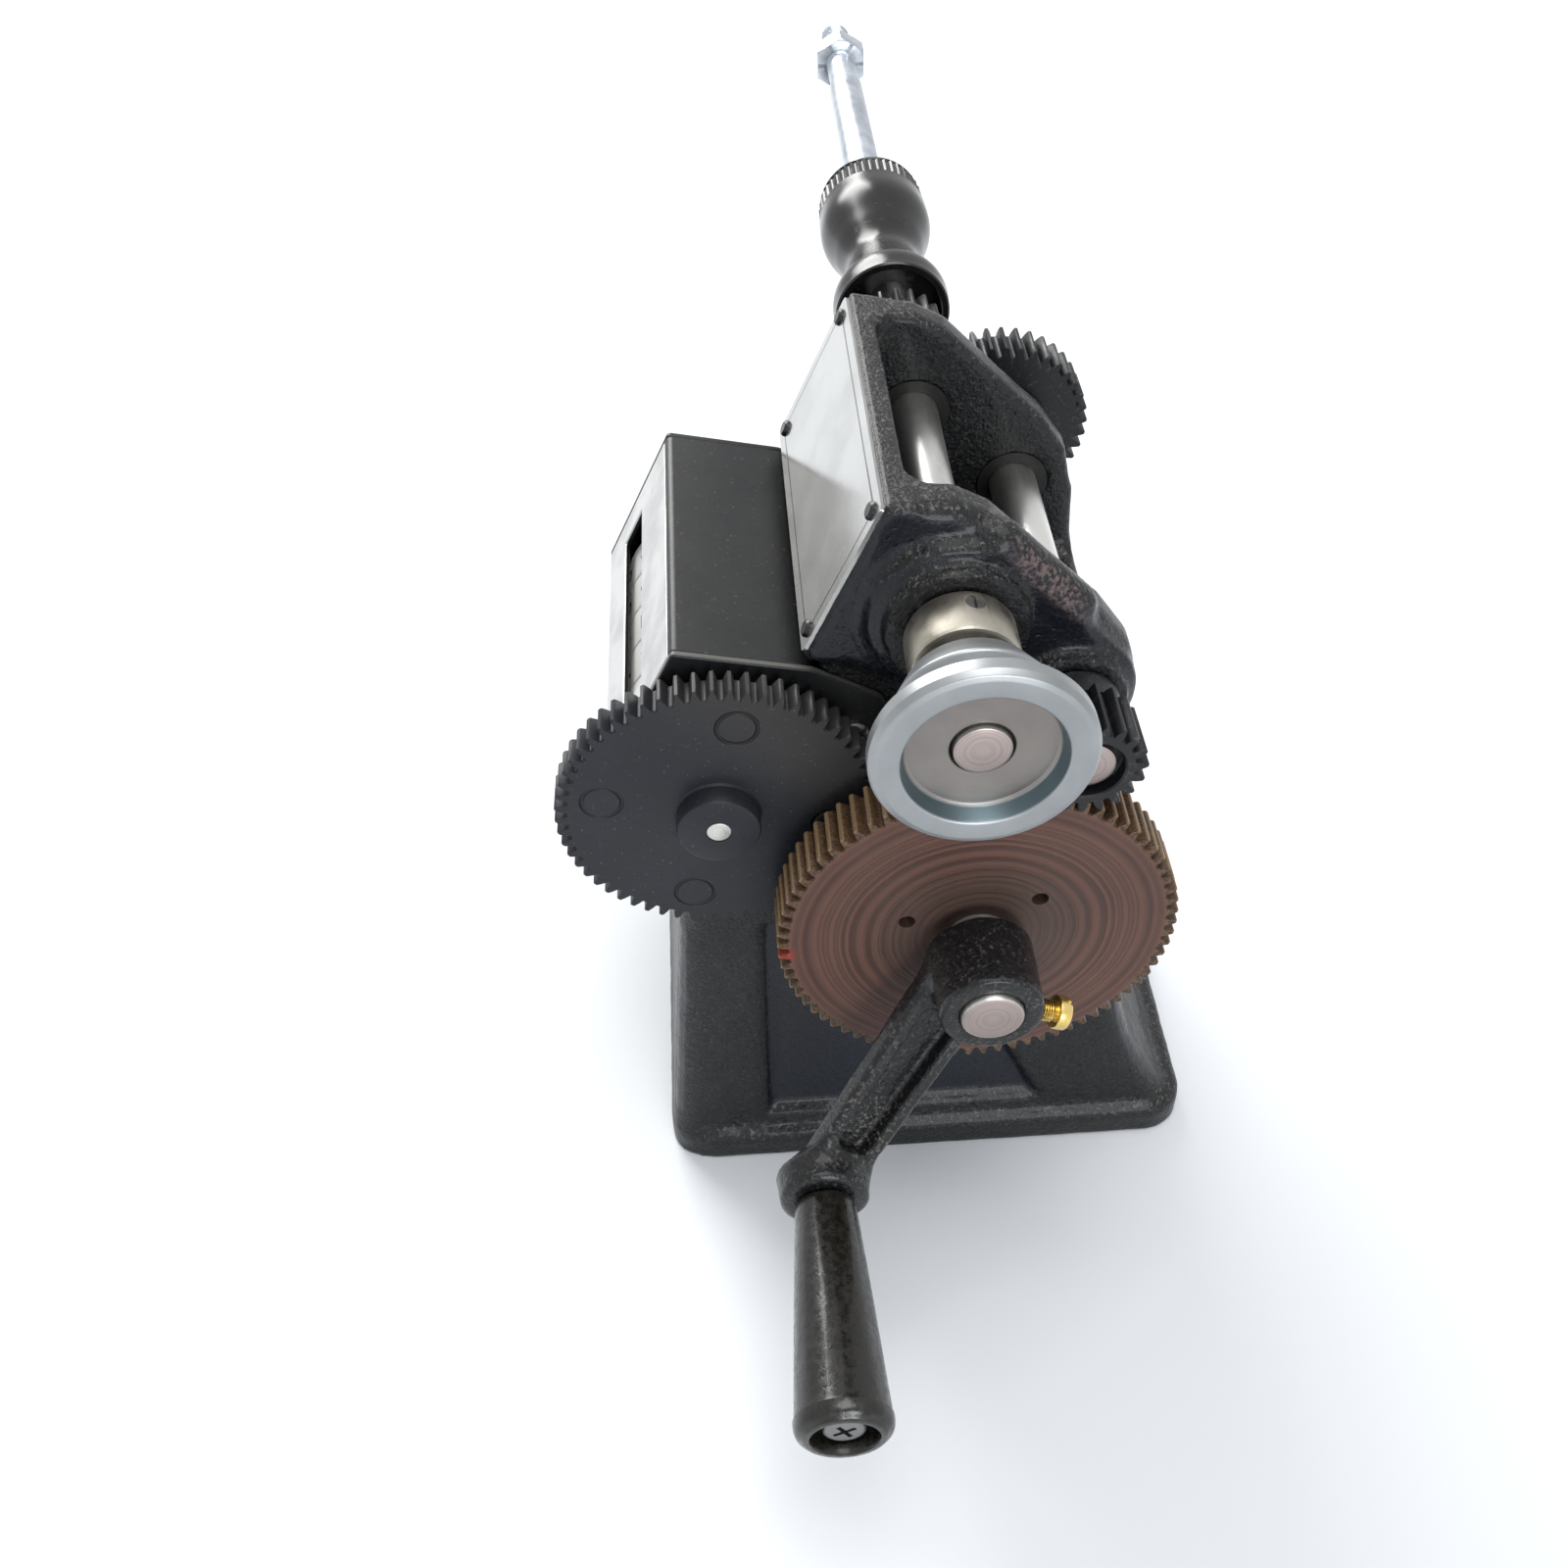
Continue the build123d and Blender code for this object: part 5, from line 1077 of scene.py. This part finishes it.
CHUCK_FRONT, CHUCK_BACK = -68.0, -114
chuck_side = smooth_curve([(-68.4, 12.75), (-74, 12.8), (-81, 10.0), (-90, 8.3), (-98, 10.5),
                           (-106, 12.9), (-113.6, 13.0)])
chuck_profile = np.concatenate([
    [(-74, SPINDLE_R), (-74, 11.0), (-68.2, 11.0), (CHUCK_FRONT, 11.2), (CHUCK_FRONT, 12.4)],
    chuck_side,
    [(CHUCK_BACK, 12.6), (CHUCK_BACK, 7.0), (-99, 7.0), (-99, 5.0)],
])
lathe("chuck", SPINDLE, chuck_profile, CHUCK, "spindle", ["chuck_body"], segments=128)
NUT_R, NUT_BACK, NUT_LIP = 12.7, -124, -122
nut_profile = np.concatenate([
    [(CHUCK_BACK, 7.0), (CHUCK_BACK, 12.2), (-114.3, NUT_R)],
    [(x, NUT_R) for x in np.linspace(-114.6, -120.8, 14)],
    rounded([(-121.2, NUT_R, 0.4), (NUT_BACK, 11.2, 0.6), (NUT_BACK, 5.0, 0), (NUT_LIP, 5.0, 0)], 4),
    [(NUT_LIP, 7.0)],
])
lathe("knurled_nut", SPINDLE, nut_profile, CHUCK, "spindle", ["chuck_nut"], segments=288,
      knurl=(48, 0.55, -121.0, -114.5))
# the rod: a thread from its far end to the seat, then a relief groove before the chuck
ROD_END, SEAT_LOW, SEAT_HIGH, GROOVE_END, ROD_START = -231, -207.0, -125.3, -124.3, -99
THREAD_R, ROD_R, GROOVE_R = 4.0, 4.5, 4.2
rod_profile = np.concatenate([
    [(ROD_END, 0.0), (ROD_END, 3.1)],
    [(x, THREAD_R) for x in np.linspace(ROD_END + 1.2, SEAT_LOW, 190)],
    rounded([(SEAT_LOW, ROD_R, 0.3), (SEAT_HIGH, ROD_R, 0.2), (SEAT_HIGH, GROOVE_R, 0),
             (GROOVE_END, GROOVE_R, 0), (GROOVE_END, ROD_R, 0.2), (ROD_START, ROD_R, 0.3),
             (ROD_START, 0, 0)], 3),
])
lathe("winding_rod", SPINDLE, rod_profile, ZINC_ROD, "spindle", ["winding_shaft"], segments=48,
      thread=(1.25, 0.6, ROD_END + 1, SEAT_LOW - 0.5))


def hex_nut(name, axis, low, high, flats, bore):
    """Hexagon nut: its radius is the lesser of the hexagon's and a bevel cone's at either face."""
    angle = full_turn(96)
    hexagon = flats / 2 / np.cos((angle + pi / 6) % (pi / 3) - pi / 6)
    depths = (0, 0.15, 0.3, 0.45, 0.7)
    cone = [np.minimum(hexagon, flats * 0.49 + 1.73 * depth) for depth in depths]
    rings = [(low, bore)] + [(low + d, r) for d, r in zip(depths, cone)]
    rings += [(high - d, r) for d, r in zip(depths[::-1], cone[::-1])] + [(high, bore)]
    points = np.stack([swept(x, r, angle, axis) for x, r in rings])
    faces = grid_faces(len(rings), len(angle), close_rows=True)
    nut = add_piece(name, points, [faces], ZINC_ROD, "spindle")
    return nut


hex_nut("clamp_nut", SPINDLE, low=-216.0, high=-209.2, flats=13.0, bore=3.4)


def turned_screw():
    """Brass clamp screw: a closed (along, radius) profile swept round its slanting axis.

    Ridges stand for its thread, and a straight slot is cut across its head.
    """
    out = np.array([0.0, cos(CLAMP_DIRECTION), sin(CLAMP_DIRECTION)])
    side = np.array([1.0, 0.0, 0.0])
    up = np.cross(out, side)
    ridges = [(along + step, 2.1 - step)
              for along in np.arange(8.6, 12.9, 0.5) for step in (0, 0.25)]
    profile = np.concatenate([
        [(6.2, 0.0), (6.2, 2.0)], ridges,
        rounded([(13.3, 1.8, 0), (13.3, 3.3, 0.3), (15.9, 3.3, 0.6), (15.9, 0, 0)], 4),
    ])
    angle = full_turn(64)[:, None]
    ring = np.cos(angle) * side + np.sin(angle) * up
    start = np.array([CLAMP_X, *CRANK])
    points = start + profile[:, 0, None, None] * out + profile[:, 1, None, None] * ring
    faces = grid_faces(len(profile), len(angle), close_rows=True)
    screw = add_piece("clamp_screw", points, [faces], BRASS, "crank", ["crank_clamp_screw"])
    slot = np.array([(-0.5, -4.0), (0.5, -4.0), (0.5, 4.0), (-0.5, 4.0)])
    return drill(screw, start + 14.8 * out, start + 17 * out, slot)


turned_screw()

# ---- handle -------------------------------------------------------------------------
GRIP_BORE = 3.05
grip_low, grip_high = span("handle_grip")
grip_side = smooth_curve([
    (grip_low + 0.5, 6.0), (grip_low + 4, 6.3), (grip_low + 22, 7.6), (grip_high - 5.5, 8.9),
    (grip_high - 3.4, 9.25), (grip_high - 1.4, 8.9), (grip_high - 0.15, 7.6),
], 10)
grip_profile = np.concatenate([
    [(grip_low, GRIP_BORE), (grip_low, 5.5)], grip_side,
    [(grip_high, 7.2), (grip_high, 6.5), (grip_high - 0.4, 6.2), (grip_high - 4.1, 6.2),
     (grip_high - 4.1, GRIP_BORE)],
])
lathe("grip", HANDLE, grip_profile, GRIP, "handle", ["handle_grip"], segments=128, sharp=50)

# ---- turns counter ------------------------------------------------------------------
FACE_UP = np.array([sin(FACE_TILT), cos(FACE_TILT)])
FACE_OUT = np.array([-cos(FACE_TILT), sin(FACE_TILT)])
FACE_ABOVE, FACE_BELOW = 26.7, 7.0
FACE_SHEET, COVER_SHEET, SIDE_SHEET, LIP = 1.3, 1.2, 1.5, 1.9
HOUSING_HALF = 35.0
WINDOW_X = (-28.0, 27.0)
WINDOW_UP = (FACE_ABOVE - 15.0 - 9.6, FACE_ABOVE - 15.0)
WHEEL_R = 17.7


def face_point(up, out):
    """(y, z) of a point up along the counter's face and out from the counter's axis."""
    return COUNTER + FACE_UP * up + FACE_OUT * out


def bevelled(piece, width):
    """Rounds a piece's sharp edges."""
    modifier = piece.modifiers.new("edges", "BEVEL")
    modifier.width = width * MM
    modifier.segments = 2
    modifier.limit_method = "ANGLE"
    modifier.angle_limit = radians(40)
    return piece


def flat_sheet(name, outline, low, high, material, stands_for, bevel=0.35):
    """Flat sheet across X: a (y, z) outline with two faces, its edges then rounded."""
    outline = np.asarray(outline)
    count = len(outline)
    points = [np.column_stack([np.full(count, x), outline]) for x in (low, high)]
    if profile_area(outline) < 0:
        points = [p[::-1] for p in points]
    ends = [np.arange(count)[None, ::-1], np.arange(count, 2 * count)[None]]
    faces = [grid_faces(2, count)] + ends
    return bevelled(add_piece(name, np.stack(points), faces, material, "frame", stands_for), bevel)


def bent_sheet(name, path, low, high, thickness, material, stands_for):
    """Sheet bent along X: a (y, z) path and its inner side, a thickness to its left."""
    path = np.asarray(path)
    forward = np.gradient(path, axis=0)
    forward /= np.hypot(*forward.T)[:, None]
    inner = path + thickness * np.column_stack([-forward[:, 1], forward[:, 0]])
    loop = np.concatenate([path, inner[::-1]])
    return flat_sheet(name, loop, low, high, material, stands_for, 0.3)


COVER_OUT = FACE_DEPTH - FACE_SHEET
COVER_BACK = COLUMN_FRONT - 1.7
cover_top, low_front = face_point(FACE_ABOVE, COVER_OUT), face_point(-FACE_BELOW, COVER_OUT)
sheet_top, sheet_low = face_point(FACE_ABOVE, FACE_DEPTH), face_point(-FACE_BELOW, FACE_DEPTH)
back_top = (COVER_BACK, cover_top[1] - (COVER_BACK - cover_top[0]) * np.tan(radians(12.0)))
foot_y = low_front[0] + 5.5
bent_sheet("counter_hood", rounded([
    (*low_front, 0), (foot_y, SHELF_Z, 1.6), (COVER_BACK, SHELF_Z, 1.6), (*back_top, 3.0),
    (*sheet_top, 1.5), (*face_point(FACE_ABOVE - LIP, FACE_DEPTH), 0),
], 6), -HOUSING_HALF, HOUSING_HALF, COVER_SHEET, COVER, ["counter_cover"])
sheet_front = [(*sheet_top, 1.0), (*sheet_low, 1.0), (foot_y - FACE_SHEET, SHELF_Z, 0.5)]
flat_sheet("counter_side", rounded(sheet_front + [
    (COLUMN_FRONT, SHELF_Z, 2.0), (-12.0, 105.0, 2.0), (-12.0, 137.7, 3.0), (*back_top, 6.0),
]), HOUSING_HALF, HOUSING_HALF + SIDE_SHEET, SIDE_COVER, ["counter_bracket"])
flat_sheet("counter_far_side", rounded(sheet_front + [
    (COVER_BACK, SHELF_Z, 1.0), (*back_top, 3.0),
]), -HOUSING_HALF - SIDE_SHEET, -HOUSING_HALF, COVER, ["counter_end_plate"])


def face_sheet():
    """Silver face of the counter: a sheet with a window, rings of corners from face to back."""
    sheet = ((-HOUSING_HALF, HOUSING_HALF), (-FACE_BELOW, FACE_ABOVE - LIP))
    window = (WINDOW_X, WINDOW_UP)
    rings = []
    for out, (x, up) in ((COVER_OUT, sheet), (FACE_DEPTH, sheet),
                         (FACE_DEPTH, window), (COVER_OUT, window)):
        corners = [(x[0], up[0]), (x[1], up[0]), (x[1], up[1]), (x[0], up[1])]
        rings.append([(a, *face_point(b, out)) for a, b in corners])
    piece = add_piece("counter_face", rings, [grid_faces(4, 4, close_rows=True)],
                      FACE_SILVER, "frame", ["counter_face_plate"])
    return bevelled(piece, 0.3)


face_sheet()

# each wheel's body and the digit that it shows at rest
WHEELS = {
    "number_wheel_units": ("counter_input", 4),
    "number_wheel_tens": ("tens_wheel", 7),
    "number_wheel_hundreds": ("hundreds_wheel", 2),
    "number_wheel_thousands": ("thousands_wheel", 0),
    "number_wheel_ten_thousands": ("ten_thousands_wheel", 0),
}
DIGIT_HEIGHT, DIGIT_RELIEF = 6.6, 0.03
COUNTER_BORE, DRUM_HUB, DRUM_SINK, DRUM_INNER = 2.45, 5, 3.8, WHEEL_R - 3.0


def digit_mesh(digit, height):
    """(points, faces) of one thin digit lying flat, centred, as tall as height."""
    curve = bpy.data.curves.new("digit", "FONT")
    curve.body = str(digit)
    curve.size = height / 0.7
    curve.extrude = DIGIT_RELIEF
    curve.align_x, curve.align_y = "CENTER", "CENTER"
    text = bpy.data.objects.new("digit", curve)
    mesh = bpy.data.meshes.new_from_object(text)
    points = np.array([v.co for v in mesh.vertices])
    faces = [list(p.vertices) for p in mesh.polygons]
    bpy.data.objects.remove(text)
    bpy.data.meshes.remove(mesh)
    return points - (points.min(0) + points.max(0)) / 2, faces


def digit_ring(node, body, shown):
    """Ten digits wrapped round a wheel, the shown one at the middle of the window."""
    low, high = span(node)
    window = (WINDOW_UP[0] + WINDOW_UP[1]) / 2
    front = np.arctan2(FACE_OUT[1], FACE_OUT[0])
    lift = np.arcsin(window / WHEEL_R)
    points, faces, count = [], [], 0
    for digit in range(10):
        flat, polygons = digit_mesh(digit, DIGIT_HEIGHT)
        turn = front - lift - flat[:, 1] / WHEEL_R - radians(36) * (digit - shown)
        radius = WHEEL_R + DIGIT_RELIEF + flat[:, 2]
        points.append(swept((low + high) / 2 + flat[:, 0], radius, turn, COUNTER))
        faces += [[i + count for i in polygon] for polygon in polygons]
        count += len(flat)
    mesh = bpy.data.meshes.new(node + "_digits")
    mesh.from_pydata(np.concatenate(points) * MM, [], faces)
    mesh.materials.append(DIGIT_BLACK)
    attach(add_object(node + "_digits", mesh), body)


for node, (body, shown) in WHEELS.items():
    low, high = span(node)
    near_web, far_web = low + DRUM_SINK, high - DRUM_SINK
    profile = rounded([
        (low, COUNTER_BORE, 0), (low, DRUM_HUB, 0.3), (near_web, DRUM_HUB, 0.4),
        (near_web, DRUM_INNER, 0.4), (low, DRUM_INNER, 0.3), (low, WHEEL_R, 0.4),
        (high, WHEEL_R, 0.4), (high, DRUM_INNER, 0.3), (far_web, DRUM_INNER, 0.4),
        (far_web, DRUM_HUB, 0.4), (high, DRUM_HUB, 0.3), (high, COUNTER_BORE, 0),
    ], 4)
    lathe(node + "_drum", COUNTER, profile, WHEEL_WHITE, body, [node])
    digit_ring(node, body, shown)

knob_low, knob_high = span("counter_reset_knob")
knob_skirt = knob_low + 8
lathe("reset_knob_cap", COUNTER, np.concatenate([
    [(knob_low + 1, COUNTER_BORE), (knob_low + 1, 3.4), (knob_low, 3.8), (knob_low, 7.0)],
    [(knob_low + 0.6, 7.8)],
    [(x, 8.0) for x in np.linspace(knob_low + 1.0, knob_low + 7.4, 10)],
    [(knob_skirt, 7.4), (knob_skirt, 4.9), (knob_skirt + 0.4, 4.5), (knob_high, 4.5)],
    [(knob_high, COUNTER_BORE)],
]), KNOB_BLACK, "reset_knob", ["counter_reset_knob"], segments=192,
      knurl=(24, 0.7, knob_low + 0.5, knob_low + 7.6))

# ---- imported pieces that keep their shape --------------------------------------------
SHAFT_NAMES = ("spindle", "layshaft", "crank", "counter")
KEPT = (
    (OILED_BUSH, [f"{shaft}_bush_{end}" for shaft in SHAFT_NAMES for end in ("near", "far")]),
    (NAMEPLATE, ["nameplate"]),
    (BLACK_SCREWS, [f"nameplate_screw_{number}" for number in range(1, 5)]),
    (SCREW_STEEL, [f"gear_dowel_{number}" for number in range(1, 4)]),
    (SCREW_STEEL, ["counter_bracket_screw_1", "counter_bracket_screw_2", "handle_pin"]),
    (SCREW_STEEL, ["crank_collar_screw", "layshaft_gear_screw", "spindle_collar_screw"]),
    (SHAFT, ["counter_carry_shaft"]),
    (WHEEL_WHITE, ["counter_carry_pinions"]),
    (COLLAR_STEEL, ["collet"]),
)
for material, nodes in KEPT:
    for node in nodes:
        slots = frame["nodes"][node].data.materials
        slots.clear()
        slots.append(material)

# ---- bench, lights and camera -------------------------------------------------------
BENCH = 6.0
PALE = (0.95, 0.96, 0.98)
SKY = (0.93, 0.96, 1.0)


def seen_directly(tree):
    """Socket that is above zero for rays from the camera, a mirror or glass."""
    path = tree.nodes.new("ShaderNodeLightPath")
    total = path.outputs["Is Camera Ray"]
    for ray in ("Is Glossy Ray", "Is Transmission Ray"):
        add = tree.nodes.new("ShaderNodeMath")
        add.operation = "MAXIMUM"
        tree.links.new(total, add.inputs[0])
        tree.links.new(path.outputs[ray], add.inputs[1])
        total = add.outputs[0]
    return total


def pale_bench():
    """Pale paper that takes the machine's shadow, and melts into the room further out."""
    finish = Finish("pale_bench", Roughness=0.7, Specular_IOR_Level=0.2)
    tint = finish.noise(260.0, 2, 0.5)
    finish.set("Base Color", finish.mix((0.86, 0.88, 0.91), (0.9, 0.92, 0.94), tint))
    x, y, _ = finish.split(finish.place())
    distance = (x * x + y * y).math("SQRT")
    room = finish.node("ShaderNodeEmission", {}, {"Color": PALE})
    blend = distance.above(450.0, 1300.0) * Value(finish, seen_directly(finish.tree))
    paper = Value(finish, finish.shader.outputs[0])
    mixed = finish.node("ShaderNodeMixShader", {}, {0: blend, 1: paper, 2: room})
    output = finish.tree.nodes["Material Output"]
    finish.tree.links.new(mixed.socket, output.inputs["Surface"])
    return finish.material


bench_mesh = bpy.data.meshes.new("bench")
bench_corners = [(-BENCH, -BENCH, 0), (BENCH, -BENCH, 0), (BENCH, BENCH, 0), (-BENCH, BENCH, 0)]
bench_mesh.from_pydata(bench_corners, [], [(0, 1, 2, 3)])
bench_mesh.materials.append(pale_bench())
add_object("bench", bench_mesh)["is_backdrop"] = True


def soft_box(name, place, size, power, colour):
    """Square area light at a place in metres, turned to face the machine's middle."""
    light = bpy.data.lights.new(name, "AREA")
    light.shape = "SQUARE"
    light.size = size
    light.energy = power
    light.color = colour
    lamp = add_object(name, light)
    lamp.location = place
    facing = Vector(MACHINE_MIDDLE) - Vector(place)
    lamp.rotation_euler = facing.to_track_quat("-Z", "Y").to_euler()


MACHINE_MIDDLE = (0.0, 0.0, 0.1)
soft_box("back_window", (-1.25, -0.55, 0.98), 0.9, 26.0, (1.0, 0.995, 0.98))
soft_box("overhead", (0.15, 0.1, 1.5), 0.9, 11.0, (1.0, 1.0, 1.0))
soft_box("front_window", (1.5, 0.3, 0.6), 0.7, 13.0, (0.93, 0.97, 1.0))


def studio_world():
    """World that lights the machine softly, and looks pale where it is seen directly."""
    world = bpy.data.worlds.new("studio")
    world.use_nodes = True
    tree = world.node_tree
    mixed = tree.nodes.new("ShaderNodeMixShader")
    tree.links.new(seen_directly(tree), mixed.inputs[0])
    seen = tree.nodes.new("ShaderNodeBackground")
    looks = ((tree.nodes["Background"], SKY, 0.33), (seen, PALE, 0.9))
    for place, (background, colour, strength) in enumerate(looks):
        background.inputs["Color"].default_value = (*colour, 1.0)
        background.inputs["Strength"].default_value = strength
        tree.links.new(background.outputs[0], mixed.inputs[place + 1])
    tree.links.new(mixed.outputs[0], tree.nodes["World Output"].inputs[0])
    return world


bpy.context.scene.world = studio_world()
bpy.context.scene.view_settings.view_transform = "Standard"

# the photograph's camera: its place in metres, its turns in radians, its lens
CAMERA_PLACE = (0.27014, -0.03836, 0.34719)
YAW, PITCH, ROLL = -0.03, 0.77, 0.04
FOCAL_LENGTH, SENSOR_WIDTH, SHIFT_UP = 38.79, 36.0, -0.0083
forward = Vector((-cos(YAW) * cos(PITCH), -sin(YAW) * cos(PITCH), -sin(PITCH)))
right = Vector((-sin(YAW), cos(YAW), 0))
down = forward.cross(right)
rolled_right = cos(ROLL) * right + sin(ROLL) * down
rolled_down = cos(ROLL) * down - sin(ROLL) * right
turned = Matrix((rolled_right, -rolled_down, -forward)).transposed().to_4x4()
lens = bpy.data.cameras.new("camera")
lens.lens = FOCAL_LENGTH
lens.sensor_width = SENSOR_WIDTH
lens.shift_y = SHIFT_UP
lens.clip_start = 0.01
camera = add_object("camera", lens)
camera.matrix_world = Matrix.Translation(CAMERA_PLACE) @ turned
bpy.context.scene.camera = camera

boxes = {"cad": CAD_BOX, "visual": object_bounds()}
{k: [list(corner) for corner in box] for k, box in boxes.items()}
